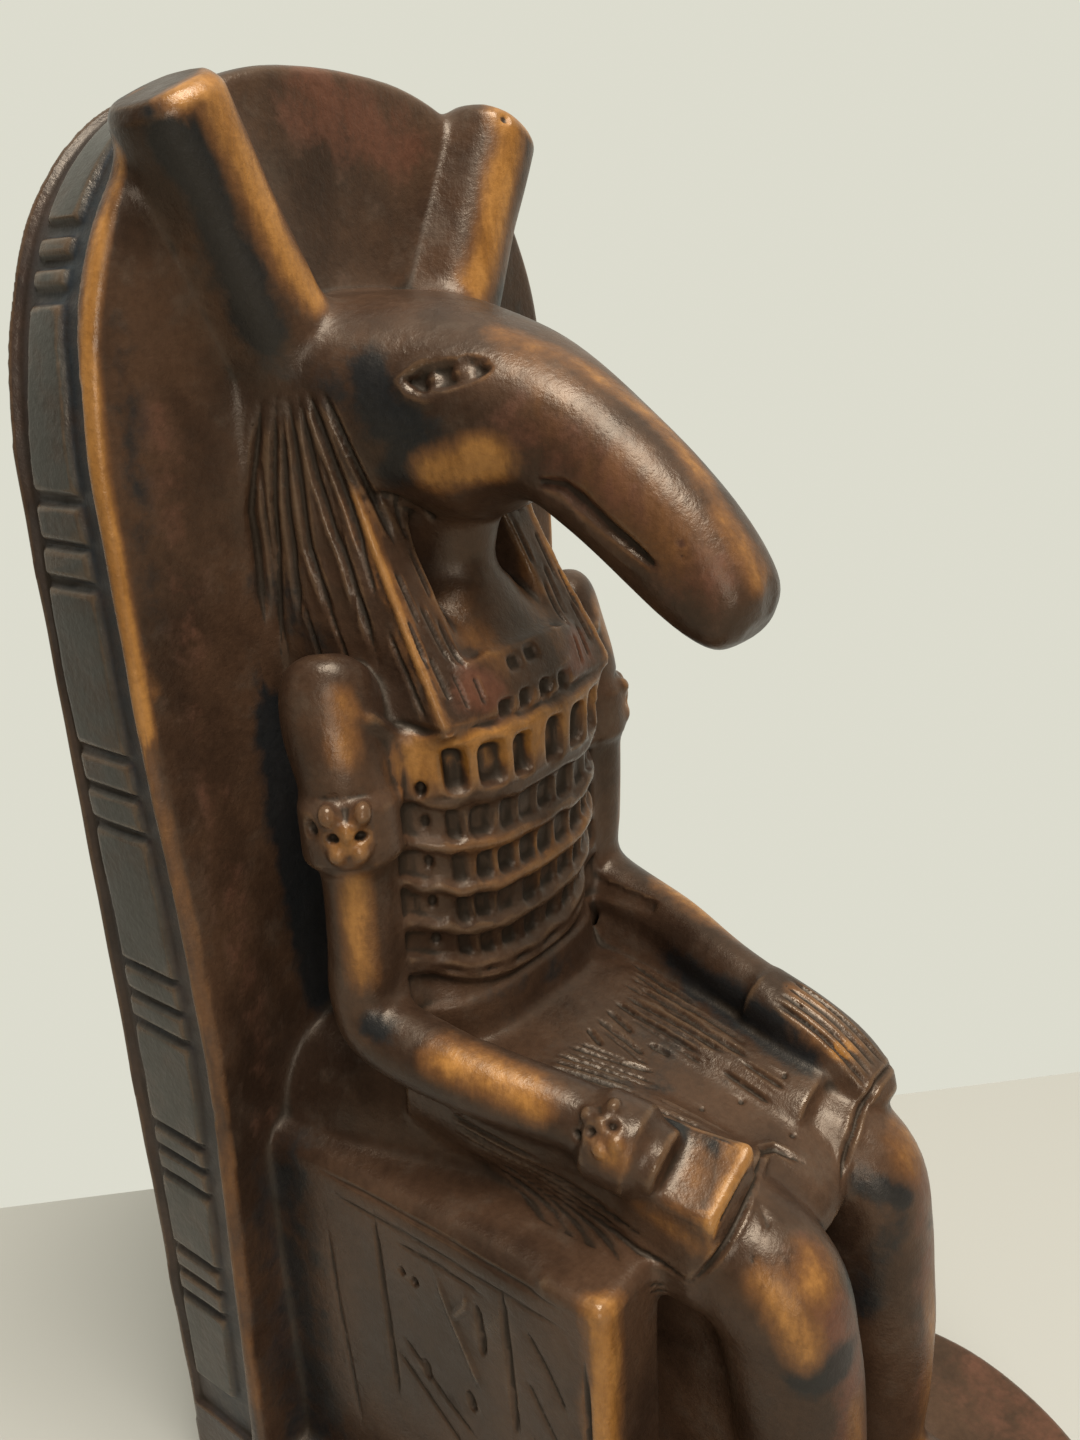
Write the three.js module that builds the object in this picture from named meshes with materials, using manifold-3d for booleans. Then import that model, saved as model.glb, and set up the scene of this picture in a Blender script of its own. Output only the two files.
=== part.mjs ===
// Seated statue of an animal-headed figure on a throne, cast in one piece with a round-topped back slab.
// Millimetres, +Z up. The figure faces -Y and its right side is at -X.
// The origin is under the middle of the base.

import * as THREE from 'three';
import { mergeVertices } from 'three/addons/utils/BufferGeometryUtils.js';
import Module from 'manifold-3d';

const wasm = await Module();
wasm.setup();

// Driving sizes
const base = { half: 50, rear: 79.6, noseCentre: -29, top: 16.5, edge: 1.2 };
const slab = { half: 49.9, front: 58.5, spring: 188, top: 250, arch: 2.5, foot: 6, edge: 1.8, steps: 18 };
const band = { depth: 1.1, blockInset: 0.25, rear: 78.4, front: 60.5, margin: 4.4, bottom: 20 };
const throne = { half: 39.5, front: -11.5, top: 85.5, shoulder: 3.5, stripInner: 24, recess: -4, foot: 10 };
const torso = { half: 24.2, front: 24.4, waistFront: 28, neckHalf: 8.4, neckFront: 34.6, square: 3.2 };
const arm = { x: 30.8, y: 38.2, top: 168.5, elbow: 109, radius: 5.4 };
const wrist = { x: 23.2, y: -1, z: 100.6 };
const leg = { x: 14.6, kneeY: -25.5, kneeZ: 84, radius: 9.7, shinY: -30.5, toe: -66 };
const kilt = { hem: -18, half: 26, thighX: 14 };
const wig = { hem: 156.4, nape: 41 };
const ear = { inner: [26.6, 247.6], outer: [40.4, 241], y: 56.8, deep: 8.7 };
const earFoot = { inner: [12.5, 219], outer: [27.5, 213] };
const eye = { x: 13, y: 26.5, z: 207, long: 7.4, high: 2.7, turn: 0.28 };

// Closed three.js geometry as a solid that can be joined and cut
function solid(geometry) {
  const bare = geometry.clone();
  bare.deleteAttribute('normal');
  bare.deleteAttribute('uv');
  const merged = mergeVertices(bare, 1e-4);
  const vertProperties = Float32Array.from(merged.attributes.position.array);
  const triVerts = Uint32Array.from(merged.index.array);
  if (signedVolume(vertProperties, triVerts) < 0) {
    triVerts.reverse();
  }
  return new wasm.Manifold(new wasm.Mesh({ numProp: 3, vertProperties, triVerts }));
}

// Negative where a shape is inside out, as a mirrored one is
function signedVolume(places, corners) {
  const at = (i) => new THREE.Vector3().fromArray(places, corners[i] * 3);
  let total = 0;
  for (let i = 0; i < corners.length; i += 3) {
    total += at(i).dot(at(i + 1).cross(at(i + 2)));
  }
  return total;
}

// A geometry with every vertex moved by one rule
function moulded(geometry, rule) {
  const spots = geometry.attributes.position;
  const spot = new THREE.Vector3();
  for (let i = 0; i < spots.count; i++) {
    const moved = rule(spot.fromBufferAttribute(spots, i));
    spots.setXYZ(i, ...moved);
  }
  return solid(geometry);
}

function joined(parts) {
  return parts.reduce((whole, part) => whole.add(part));
}

function mirrored(build) {
  return [-1, 1].flatMap((side) => build(side));
}

const mix = THREE.MathUtils.lerp;

// Box between two corners
function box(low, high) {
  return moulded(new THREE.BoxGeometry(1, 1, 1), (p) => [
    mix(low[0], high[0], p.x + 0.5),
    mix(low[1], high[1], p.y + 0.5),
    mix(low[2], high[2], p.z + 0.5),
  ]);
}

// Six-sided block: low and high are its four lower and four upper corners, anticlockwise seen from above
function block(low, high) {
  const order = (p) => (p.y < 0 ? (p.x < 0 ? 0 : 1) : (p.x < 0 ? 3 : 2));
  return moulded(new THREE.BoxGeometry(1, 1, 1), (p) => (p.z < 0 ? low : high)[order(p)]);
}

// Egg shape with three half sizes, turned about X and then Z
function egg(at, half, sides, turn = [0, 0]) {
  const shape = new THREE.SphereGeometry(1, sides, Math.ceil(sides / 2));
  shape.scale(...half);
  shape.rotateX(turn[0]);
  shape.rotateZ(turn[1]);
  shape.translate(...at);
  return solid(shape);
}

const power = (v, square) => Math.sign(v) * Math.abs(v) ** (2 / square);

// Closed skin over rings { at, wide, deep }: wide lies nearly along X, and deep across the path.
// The count of sides is two more than a multiple of four: a corner lies at each side and none in the middle.
// A ring may set square, its corner sharpness, and up, the direction of its depth.
function loft(rings, sides) {
  const points = rings.map((ring) => new THREE.Vector3(...ring.at));
  const frames = rings.map((ring, i) => {
    const next = points[Math.min(i + 1, rings.length - 1)];
    const along = next.clone().sub(points[Math.max(i - 1, 0)]).normalize();
    const across = new THREE.Vector3(1, 0, 0).addScaledVector(along, -along.x).normalize();
    const up = ring.up ? new THREE.Vector3(...ring.up).normalize() : along.cross(across);
    return { across: ring.up ? new THREE.Vector3(1, 0, 0) : across, up };
  });
  const drum = new THREE.CylinderGeometry(1, 1, 1, sides, rings.length - 1, false, Math.PI / sides);
  return moulded(drum, (p) => {
    const row = Math.round((0.5 - p.y) * (rings.length - 1));
    const { wide, deep, square = 2 } = rings[row];
    return points[row].clone()
      .addScaledVector(frames[row].across, wide * power(p.x, square))
      .addScaledVector(frames[row].up, deep * power(p.z, square));
  });
}

// More rings along the smooth curve through a few
function smooth(rings, count) {
  const curve = (pick) => {
    const spots = rings.map((ring) => new THREE.Vector3(...pick(ring)));
    return new THREE.CatmullRomCurve3(spots, false, 'catmullrom');
  };
  const place = curve((ring) => ring.at);
  const size = curve((ring) => [ring.wide, ring.deep, ring.square ?? 2]);
  const lift = curve((ring) => ring.up ?? [0, 0, 1]);
  return Array.from({ length: count + 1 }, (_, i) => {
    const at = place.getPoint(i / count);
    const [wide, deep, square] = size.getPoint(i / count);
    const ring = { at: [...at], wide, deep, square };
    return rings[0].up ? { ...ring, up: [...lift.getPoint(i / count)] } : ring;
  });
}

// Three-sided cutter along a line of points, its edge sunk to the given depth below them
function groove(points, width, depth, out) {
  const away = new THREE.Vector3(...out).normalize();
  return joined(points.slice(1).map((end, i) => {
    const along = new THREE.Vector3(...end).sub(new THREE.Vector3(...points[i])).normalize();
    const across = along.clone().cross(away).normalize();
    const corners = [[0, -depth], [width, depth], [-width, depth]];
    return moulded(new THREE.CylinderGeometry(1, 1, 1, 3, 1), (p) => {
      const from = new THREE.Vector3(...(p.y > 0 ? points[i] : end));
      const turn = Math.round(Math.atan2(p.x, p.z) / (Math.PI * 2 / 3) + 3) % 3;
      const inside = Math.hypot(p.x, p.z) < 0.5;
      const [side, lift] = inside ? [0, depth / 3] : corners[turn];
      return from.addScaledVector(across, side).addScaledVector(away, lift);
    });
  }));
}

// Slab and its side band

// Outline of the slab seen from the front, a given distance inside its edge: t runs 0 to 1 over the arch
function archPoint(t, inset) {
  const angle = Math.PI * t;
  return [
    (slab.half - inset) * power(Math.cos(angle), slab.arch),
    slab.spring + (slab.top - slab.spring - inset) * power(Math.sin(angle), slab.arch),
  ];
}

// Corners of the arch from one share of its turn to another, the same ones at every inset
function archRow(from, to, inset) {
  const between = Array.from({ length: slab.steps - 1 }, (_, i) => (i + 1) / slab.steps);
  const shares = [from, ...between.filter((t) => t > from && t < to), to];
  return shares.map((t) => new THREE.Vector2(...archPoint(t, inset)));
}

// Levels are heights that get corners of their own on the straight sides
function slabOutline(inset, foot, levels = []) {
  const half = slab.half - inset;
  const up = [foot, ...levels].map((z) => new THREE.Vector2(half, z));
  const down = [...levels].reverse().map((z) => new THREE.Vector2(-half, z));
  return [new THREE.Vector2(-half, foot), ...up, ...archRow(0, 1, inset), ...down];
}

// A flat shape in X and Z drawn out from one y to another in front of it
function drawnForward(shape, rear, front, options = {}) {
  const depth = rear - front;
  const made = new THREE.ExtrudeGeometry(shape, { depth, steps: 1, bevelEnabled: false, ...options });
  made.rotateX(Math.PI / 2);
  made.translate(0, rear, 0);
  return made;
}

const standing = (...shape) => solid(drawnForward(...shape));

function backSlab() {
  const overrun = 5;
  const shape = new THREE.Shape(slabOutline(0, slab.foot));
  return standing(shape, base.rear + overrun, slab.front + slab.edge, {
    bevelEnabled: true,
    bevelThickness: slab.edge,
    bevelSize: slab.edge * 0.8,
    bevelOffset: -slab.edge * 0.8,
    bevelSegments: 1,
  });
}

// The rim between the slab's face and the band, seen from the side: height and y of its rear edge
const rim = [
  [20, 62], [47, 60.2], [76, 58.4], [104, 56.8], [131, 58], [160, 60.3], [207, 61.6], [219, 63],
];

function rimAt(z) {
  const next = rim.findIndex(([level]) => level > z);
  if (next < 1) {
    return next === 0 ? rim[0][1] : rim[rim.length - 1][1];
  }
  const [[low, from], [high, to]] = rim.slice(next - 1, next + 1);
  return mix(from, to, (z - low) / (high - low));
}

// Front edges of the slab, which swell forward at mid height: across holds x and the distance ahead of the rim
function rimSwell() {
  const rows = rim.filter(([z]) => z > 40 && z < 170);
  const across = [[30, 0], [slab.half - 2.2, 2], [slab.half, 0.6]];
  return mirrored((side) => {
    const strip = new THREE.BoxGeometry(1, 1, 1, across.length - 1, 1, rows.length - 1);
    return moulded(strip, (p) => {
      const [z, edge] = rows[Math.round((p.z + 0.5) * (rows.length - 1))];
      const [x, ahead] = across[Math.round((p.x + 0.5) * (across.length - 1))];
      const front = ahead > 0 ? edge - ahead : slab.front + 1;
      return [side * x, p.y < 0 ? front : slab.front + 4, z];
    });
  });
}

function sideChannel() {
  const levels = rim.map(([z]) => z).filter((z) => z > band.bottom && z < slab.spring);
  const outside = new THREE.Shape(slabOutline(-2, band.bottom, levels));
  const inside = new THREE.Shape(slabOutline(band.depth, band.bottom - 4));
  const core = standing(inside, band.rear + 1, slab.front - 8);
  const cutter = drawnForward(outside, band.rear, band.front);
  const bent = moulded(cutter, (p) => [p.x, p.y > slab.front + 10 ? p.y : rimAt(p.z), p.z]);
  return bent.subtract(core);
}

// Raised blocks up each side: heights of their lower and upper ends
const straightBlocks = [
  [28, 47.5], [49, 53.2], [54.4, 58.4], [59.6, 75], [76.2, 80.2], [81.4, 85.4], [86.6, 106],
  [107.2, 111.4], [112.6, 117], [118.2, 142], [143.2, 148.2], [149.4, 154.2], [155.4, 180.2],
  [181.6, 186], [187, 192.2],
];
// Blocks over the arch, as shares of its turn
const archBlocks = [[0.0158, 0.138], [0.15, 0.166], [0.1755, 0.1935], [0.206, 0.366], [0.3855, 0.6145]];

function bandBlocks() {
  const sunk = band.depth + 1;
  const blockRear = (z) => (z < 150 ? 75.6 : 77);
  const straight = straightBlocks.flatMap(([low, high]) => mirrored((side) => {
    const faces = [side * (slab.half - sunk), side * (slab.half - band.blockInset)].sort((a, b) => a - b);
    const front = rimAt((low + high) / 2) + band.margin;
    return box([faces[0], front, low], [faces[1], blockRear(low), high]);
  }));
  const curved = archBlocks.flatMap(([from, to]) => {
    const spans = to > 0.5 ? [[from, to]] : [[from, to], [1 - to, 1 - from]];
    return spans.map(([start, end]) => {
      const outline = [...archRow(start, end, band.blockInset), ...archRow(start, end, sunk).reverse()];
      return standing(new THREE.Shape(outline), 75.6, 64.6);
    });
  });
  return [...straight, ...curved];
}

// Base and throne

function baseBlock() {
  const overrun = 5;
  const plan = new THREE.Shape();
  plan.moveTo(-base.half, base.rear + overrun);
  plan.lineTo(-base.half, base.noseCentre);
  plan.absarc(0, base.noseCentre, base.half, Math.PI, Math.PI * 2, false);
  plan.lineTo(base.half, base.rear + overrun);
  const made = new THREE.ExtrudeGeometry(plan, {
    depth: base.top - base.edge * 2,
    curveSegments: 18,
    bevelEnabled: true,
    bevelThickness: base.edge,
    bevelSize: base.edge,
    bevelOffset: -base.edge,
    bevelSegments: 1,
  });
  made.translate(0, 0, base.edge);
  return solid(made);
}

function throneBlock() {
  const { half, top, shoulder, foot } = throne;
  const shape = new THREE.Shape();
  shape.moveTo(-half, foot);
  shape.lineTo(half, foot);
  shape.lineTo(half, top - shoulder);
  shape.quadraticCurveTo(half, top, half - shoulder, top);
  shape.lineTo(shoulder - half, top);
  shape.quadraticCurveTo(-half, top, -half, top - shoulder);
  return standing(shape, slab.front + 2, throne.front, { curveSegments: 4 });
}

// Mass of the seat that swells up to the elbows
function seatSwell() {
  return mirrored((side) => loft([
    { at: [side * 22, 62, 84], wide: 12.5, deep: 16 },
    { at: [side * 22, 46, 84], wide: 12, deep: 16 },
    { at: [side * 21.5, 32, 83.5], wide: 9, deep: 14 },
    { at: [side * 21, 14, 82], wide: 5, deep: 8 },
  ], 10));
}

function throneCuts() {
  const { half, front, top, stripInner, recess } = throne;
  const legRoom = box([-stripInner, front - 1, base.top], [stripInner, recess, top - 8]);
  const lines = mirrored((side) => {
    const out = [side, 0, 0];
    const x = side * half;
    const rows = [32, 5.4, -6].map((y) => groove([[x, y, 24], [x, y, 77]], 1.4, 0.9, out));
    const level = [22, 79].map((z) => groove([[x, 52, z], [x, -6, z]], 1.4, 0.8, out));
    const post = groove([[side * 32.5, front, 24], [side * 32.5, front, 79]], 1.4, 0.9, [0, -1, 0]);
    return [...rows, ...level, post];
  });
  return [legRoom, ...lines];
}

// Raised ornament on the throne's side: a stem, two crossing leaves and a bud
function throneOrnament() {
  return mirrored((side) => {
    const x = side * throne.half;
    const leaf = (y, z, length, lean) => egg([x, y, z], [0.8, 2.1, length], 6, [lean, 0]);
    const leaves = [leaf(14, 58, 9.5, 0.5), leaf(23.2, 58, 9.5, -0.5)];
    return [leaf(18.6, 47, 20, 0), ...leaves, leaf(18.6, 70, 4.2, 0)];
  });
}

// Body

function torsoBody() {
  const back = slab.front + 6;
  const ring = (z, half, front, square) => (
    { at: [0, (back + front) / 2, z], wide: half, deep: (back - front) / 2, square }
  );
  const { half, front, waistFront, neckHalf, neckFront, square } = torso;
  return loft(smooth([
    ring(78, half, waistFront - 2, square),
    ring(104, half, waistFront - 1, square),
    ring(114, half - 1.5, waistFront, square),
    ring(128, half - 0.5, waistFront - 1.8, square),
    ring(142, half, front + 1, square),
    ring(153, half, front, square),
    ring(163, half - 5, front + 4.6, 2.6),
    ring(171, neckHalf + 2.4, neckFront - 2.4, 2.3),
    ring(178, neckHalf, neckFront, 2.2),
    ring(194, neckHalf + 1, neckFront - 2, 2.2),
  ], 11), 26);
}

// Net of the bodice: rows of { z, high, pitch, wide }, a pocket between each pair of cords
const netRows = [
  { z: 149.6, high: 7.4, pitch: 7.8, wide: 4.4, across: 7 },
  { z: 140.6, high: 4.6, pitch: 6.6, wide: 4.2, across: 8 },
  { z: 132.2, high: 5.4, pitch: 6.4, wide: 4.4, across: 8 },
  { z: 123.6, high: 5, pitch: 6.4, wide: 4.2, across: 8 },
  { z: 116.2, high: 3.6, pitch: 6.6, wide: 3.8, across: 7 },
];

function netPockets() {
  const depth = 1.8;
  const pockets = netRows.flatMap(({ z, high, pitch, wide, across }) => {
    const front = z > 140 ? torso.front + 0.2 : torso.waistFront - (z - 114) * 0.14;
    return Array.from({ length: across }, (_, i) => {
      const x = (i - (across - 1) / 2) * pitch;
      return box([x - wide / 2, front - 6, z - high / 2], [x + wide / 2, front + depth, z + high / 2]);
    });
  });
  const sides = netRows.slice(0, 4).flatMap(({ z, high }) => mirrored((side) => {
    const x = [side * (torso.half - 1.8), side * (torso.half + 4)].sort((a, b) => a - b);
    return box([x[0], 32, z - high / 2], [x[1], 36, z + high / 2]);
  }));
  const upper = [-5, 0, 5].map((x) => box([x - 1.4, 18, 157.4], [x + 1.4, torso.front + 4.4, 160.2]));
  return [...pockets, ...sides, ...upper];
}

function beltRidge(z, proud) {
  const back = slab.front;
  const front = torso.waistFront - proud;
  const ring = (dz, less) => ({
    at: [0, (back + front) / 2, z + dz],
    wide: torso.half - 1.5 + proud - less,
    deep: (back - front) / 2 - less,
    square: torso.square,
  });
  return loft([ring(-1.3, 1.2), ring(-0.5, 0), ring(0.5, 0), ring(1.3, 1.2)], 26);
}

// Kilt over both thighs, with the valley of the lap between them
function kiltBody() {
  const thigh = (side) => {
    const ring = (y, x, z, wide, deep) => ({ at: [side * x, y, z], wide, deep, square: 2.4 });
    return loft(smooth([
      ring(50, 13, 91, 13.5, 10),
      ring(30, 13.4, 90, 13, 11),
      ring(12, 13.8, 88, 12.6, 11.2),
      ring(-4, kilt.thighX, 85.8, 12, 11.4),
      ring(kilt.hem, kilt.thighX + 0.4, 84.2, kilt.half - kilt.thighX - 0.4, 11.2),
    ], 6), 14);
  };
  const lap = loft([
    { at: [0, 46, 92], wide: 22, deep: 13, square: 3 },
    { at: [0, 26, 91], wide: 20, deep: 10, square: 3 },
    { at: [0, 4, 86.5], wide: 18, deep: 9, square: 3 },
    { at: [0, kilt.hem, 83], wide: 15, deep: 8, square: 2.6 },
    { at: [0.6, kilt.hem - 6.4, 78.4], wide: 7, deep: 5.4, square: 2.3 },
  ], 14);
  return [thigh(-1), thigh(1), lap];
}

// Pleats: lines fanning over the lap from the belt, and long lines down each outer side
function pleats() {
  const fan = [-1, -0.72, -0.44, -0.16, 0.16, 0.44, 0.72, 1].map((turn) => {
    const out = (reach, z) => [Math.sin(turn) * reach * 0.7, 30 - Math.cos(turn * 0.8) * reach, z];
    return groove([out(17, 101), out(31, 97.2 - Math.cos(turn * 2))], 1.2, 1.1, [0, -0.2, 1]);
  });
  const long = mirrored((side) => [0, 1].map((i) => groove([
    [side * 26, 12 - i * 5, 89.5 - i * 2.6],
    [side * 26, kilt.hem + 3, 86.5 - i * 2.6],
  ], 1.1, 0.9, [side, 0, 0])));
  return [...fan, ...long];
}

function legs() {
  return mirrored((side) => {
    const ring = (x, y, z, wide, deep) => ({ at: [side * x, y, z], wide, deep, square: 2.2 });
    const { x, kneeY, kneeZ, radius, shinY } = leg;
    const shin = loft(smooth([
      ring(x, 0, 85, 10.6, 10.2),
      ring(x, -14, kneeZ, 10.4, 10),
      ring(x + 0.3, kneeY + 1.4, kneeZ - 4.4, 10, radius + 1),
      ring(x, shinY + 3, 70, radius - 0.3, radius + 0.4),
      ring(x - 0.4, shinY + 1, 54, radius - 0.4, radius),
      ring(x - 0.2, shinY, 38, radius - 1.2, radius - 0.8),
      ring(x, shinY - 0.5, 26, 7.6, 8),
      ring(x, shinY - 1, 10, 8, 9.4),
    ], 7), 14);
    const foot = loft(smooth([
      ring(x, -22, 18, 6.6, 7),
      ring(x, -32, 18, 7.6, 9),
      ring(x + 0.6, -46, 17, 8, 7.2),
      ring(x + 1, -58, 16, 8.6, 5.2),
      ring(x + 0.6, leg.toe, 15.4, 6.6, 3.4),
    ], 5), 10);
    const web = box(
      [side * x - 5, shinY + 3, 12],
      [side * x + 5, throne.recess + 3, 82],
    );
    return [shin, foot, web];
  });
}

function toeCuts() {
  return mirrored((side) => [-4.2, -1, 1.8, 4.4].map((x) => {
    const at = side * (leg.x + 0.8) - x * side;
    return groove([[at, leg.toe - 2, 18.2], [at, leg.toe + 9, 21.4]], 1, 1, [0, -0.35, 1]);
  }));
}

// Raised ring round an arm
function cuff(at, along, size, half) {
  const step = (share) => at.map((v, i) => v + along[i] * half * share);
  const sized = (share, r) => ({ at: step(share), wide: r, deep: r });
  const rim = size - 1.4;
  return loft([sized(-1, rim), sized(-0.7, size), sized(0.7, size), sized(1, rim)], 10);
}

// Arms, the armlets on them and the mass that rests each forearm on the lap
function arms() {
  return mirrored((side) => {
    const ring = (x, y, z, wide, deep = wide) => ({ at: [side * x, y, z], wide, deep });
    const { x, y, top, elbow, radius } = arm;
    const limb = loft(smooth([
      ring(x - 3, y + 5, top, 3),
      ring(x - 2.4, y + 4.4, top - 2.6, 6.4),
      ring(x - 2, y + 3.8, 159, 7.6),
      ring(x - 0.8, y + 1, 150, 6.8),
      ring(x + 0.2, y - 0.4, 138, radius),
      ring(x + 0.2, y, 124, radius),
      ring(x, y + 0.8, elbow + 5, radius + 0.2),
      ring(x - 0.4, y - 3.4, elbow - 0.6, radius + 0.6),
      ring(x - 2.6, 19, elbow - 4, radius + 0.2),
      ring(wrist.x + 0.6, wrist.y + 5, wrist.z + 1.4, radius - 0.2),
      ring(wrist.x - 1.6, wrist.y - 10, wrist.z - 2, radius, 4.4),
    ], 11), 10);
    const armlet = cuff([side * (x - 0.2), y, 143.8], [0, 0, -1], 7.8, 5.2);
    const web = box([side < 0 ? -x : 16, y - 4, 92], [side < 0 ? -16 : x, y + 5, 157]);
    const rest = loft([
      ring(26, 36, 98, 4.6, 8),
      ring(25, 19, 96, 4.6, 8),
      ring(21.5, 4, 94, 4.4, 6),
      ring(19.6, -8, 92, 3.6, 5),
    ], 6);
    return [limb, armlet, web, rest];
  });
}

// The right hand is a squared block below a bracelet, and the left one lies flat over the knee
function hands() {
  const bracelet = cuff([0.4 - wrist.x, wrist.y - 2.6, wrist.z - 0.6], [0.18, -0.96, -0.2], 7, 4.2);
  const squared = block(
    [[-24.5, -20, 86], [-12.5, -20.5, 90], [-14.5, -4, 92], [-26, -5, 88]],
    [[-25, -20.2, 94.2], [-13, -20.8, 101], [-15, -6, 101], [-25.6, -7.5, 96.2]],
  );
  const flat = loft([
    { at: [21.6, -3, 101], wide: 5.6, deep: 5, square: 2.4 },
    { at: [20.8, -12, 98.8], wide: 6, deep: 4.4, square: 2.6 },
    { at: [20.6, -19, 95.6], wide: 6.2, deep: 3.8, square: 2.8 },
    { at: [20.2, -24.4, 91.8], wide: 5.4, deep: 3.2, square: 2.8 },
    { at: [20, -27, 89.6], wide: 3.2, deep: 2.2, square: 2.6 },
  ], 10);
  return [bracelet, squared, flat];
}

// Bumps of the mask on each armlet: forehead, two cheeks, muzzle and ears
function masks() {
  const bumps = [
    { turn: 0, z: 146.6, half: [1.3, 1.2, 2] },
    { turn: -0.32, z: 142.6, half: [1.1, 1.6, 2] },
    { turn: 0.32, z: 142.6, half: [1.1, 1.6, 2] },
    { turn: 0, z: 140.2, half: [1.5, 1.5, 1.6] },
  ];
  const facing = Math.PI * 1.22;
  const reach = 7.5;
  return mirrored((side) => bumps.map(({ turn, z, half }) => {
    const angle = side < 0 ? facing + turn : Math.PI - facing - turn;
    const at = [side * (arm.x - 0.2) + Math.cos(angle) * reach, arm.y + Math.sin(angle) * reach, z];
    return egg(at, half, 6, [0, angle]);
  }));
}

// Head, ears and wig

// Midline of the head seen from the side: [y, z] on top and below, then the half width
const headRings = [
  { top: [62, 217.4], under: [62, 190], wide: 22 },
  { top: [50, 218.6], under: [49, 188.4], wide: 21.6 },
  { top: [41, 217.6], under: [41, 187.2], wide: 19.6 },
  { top: [33, 215.6], under: [31.5, 185.4], wide: 16.4 },
  { top: [25.4, 213], under: [24, 188.8], wide: 14 },
  { top: [18.4, 209.8], under: [19.5, 188], wide: 11.8 },
  { top: [10.9, 205.2], under: [15.4, 185], wide: 10.2 },
  { top: [4.4, 200.2], under: [9.6, 180.8], wide: 9.4 },
  { top: [-2, 194.8], under: [4.2, 176.8], wide: 9 },
  { top: [-7.8, 189.4], under: [-0.8, 173.2], wide: 8.6 },
  { top: [-12.2, 184], under: [-5.2, 170.8], wide: 8 },
  { top: [-14.6, 179.2], under: [-8.6, 170], wide: 6.8 },
  { top: [-14.2, 175], under: [-11.6, 171.4], wide: 4 },
];

function head() {
  return loft(smooth(headRings.map(({ top, under, wide }) => ({
    at: [0, (top[0] + under[0]) / 2, (top[1] + under[1]) / 2],
    wide,
    deep: Math.hypot(top[0] - under[0], top[1] - under[1]) / 2,
    up: [0, top[0] - under[0], top[1] - under[1]],
    square: 2.4,
  })), 17), 18);
}

function headCuts() {
  const mouth = mirrored((side) => groove(
    [[side * 12, 17.7, 192.4], [side * 10.4, 9, 187.2], [side * 9.4, 1, 181.6], [side * 9, -6, 176.4]],
    1.8, 2.2, [side, 0, 0],
  ));
  const sockets = mirrored((side) => egg(
    [side * (eye.x + 1.8), eye.y, eye.z],
    [2.4, eye.long, eye.high],
    10,
    [0, side * -eye.turn],
  ));
  return [...mouth, ...sockets];
}

function eyeLumps() {
  return mirrored((side) => egg(
    [side * (eye.x + 0.2), eye.y, eye.z],
    [1.9, eye.long * 0.7, eye.high * 0.66],
    8,
    [0, side * -eye.turn],
  ));
}

function ears() {
  const across = (inner, outer) => ({
    centre: [(inner[0] + outer[0]) / 2, (inner[1] + outer[1]) / 2],
    half: Math.hypot(outer[0] - inner[0], outer[1] - inner[1]) / 2,
  });
  const low = across(earFoot.inner, earFoot.outer);
  const high = across(ear.inner, ear.outer);
  return mirrored((side) => {
    const ring = (t, grow, deep) => ({
      at: [
        side * mix(low.centre[0], high.centre[0], t),
        ear.y - t * 0.5,
        mix(low.centre[1], high.centre[1], t),
      ],
      wide: mix(low.half, high.half, t) + grow,
      deep,
      square: 2.2,
    });
    return loft([
      ring(-0.5, 1.5, 8),
      ring(0, 0, ear.deep),
      ring(0.5, -0.2, ear.deep - 0.8),
      ring(0.94, 0, ear.deep - 0.6),
      ring(1, -1.4, ear.deep - 2.2),
    ], 14);
  });
}

// Rows of the wig: height and front, then x at the slab, at the front ridge and inside the lappet
const wigRows = [
  { z: wig.hem, front: 25.4, rear: 22, ridge: 21.6, inner: 9.4 },
  { z: 183, front: 39.8, rear: 25.3, ridge: 18.3, inner: 11 },
  { z: 202, front: 44.5, rear: 28, ridge: 20, inner: 5 },
  { z: 216, front: 48, rear: 22, ridge: 14, inner: 3 },
];

// Point of the side panel: t runs from 0 at the front ridge to 1 at the slab
function panelPoint(side, row, t) {
  return [side * mix(row.ridge, row.rear, t), mix(row.front, slab.front + 1, t), row.z];
}

function wigHalf(side) {
  const corners = (row) => [
    [side * row.inner, row.front - 0.4, row.z],
    panelPoint(side, row, 0),
    panelPoint(side, row, 1),
    [side * row.inner, slab.front + 1, row.z],
  ];
  return joined(wigRows.slice(1).map((row, i) => block(corners(wigRows[i]), corners(row))));
}

function wigStrands() {
  return mirrored((side) => {
    const panel = [0.14, 0.3, 0.46, 0.62, 0.78].map((t) => groove(
      wigRows.slice(0, 3).map((row) => panelPoint(side, row, t)),
      1.2, 0.9, [side, -0.15, 0],
    ));
    const front = [0.3, 0.65].map((t) => groove(
      wigRows.slice(0, 2).map((row) => [side * mix(row.inner, row.ridge, t), row.front - 0.2, row.z]),
      1.1, 0.9, [0, -1, 0.4],
    ));
    return [...panel, ...front];
  });
}

// Shoulders of the wig behind the neck
function nape() {
  return block(
    [[-18, wig.nape, 157], [18, wig.nape, 157], [18, slab.front + 1, 157], [-18, slab.front + 1, 157]],
    [[-18, 47, 192], [18, 47, 192], [18, slab.front + 1, 192], [-18, slab.front + 1, 192]],
  );
}

// The whole statue

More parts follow.
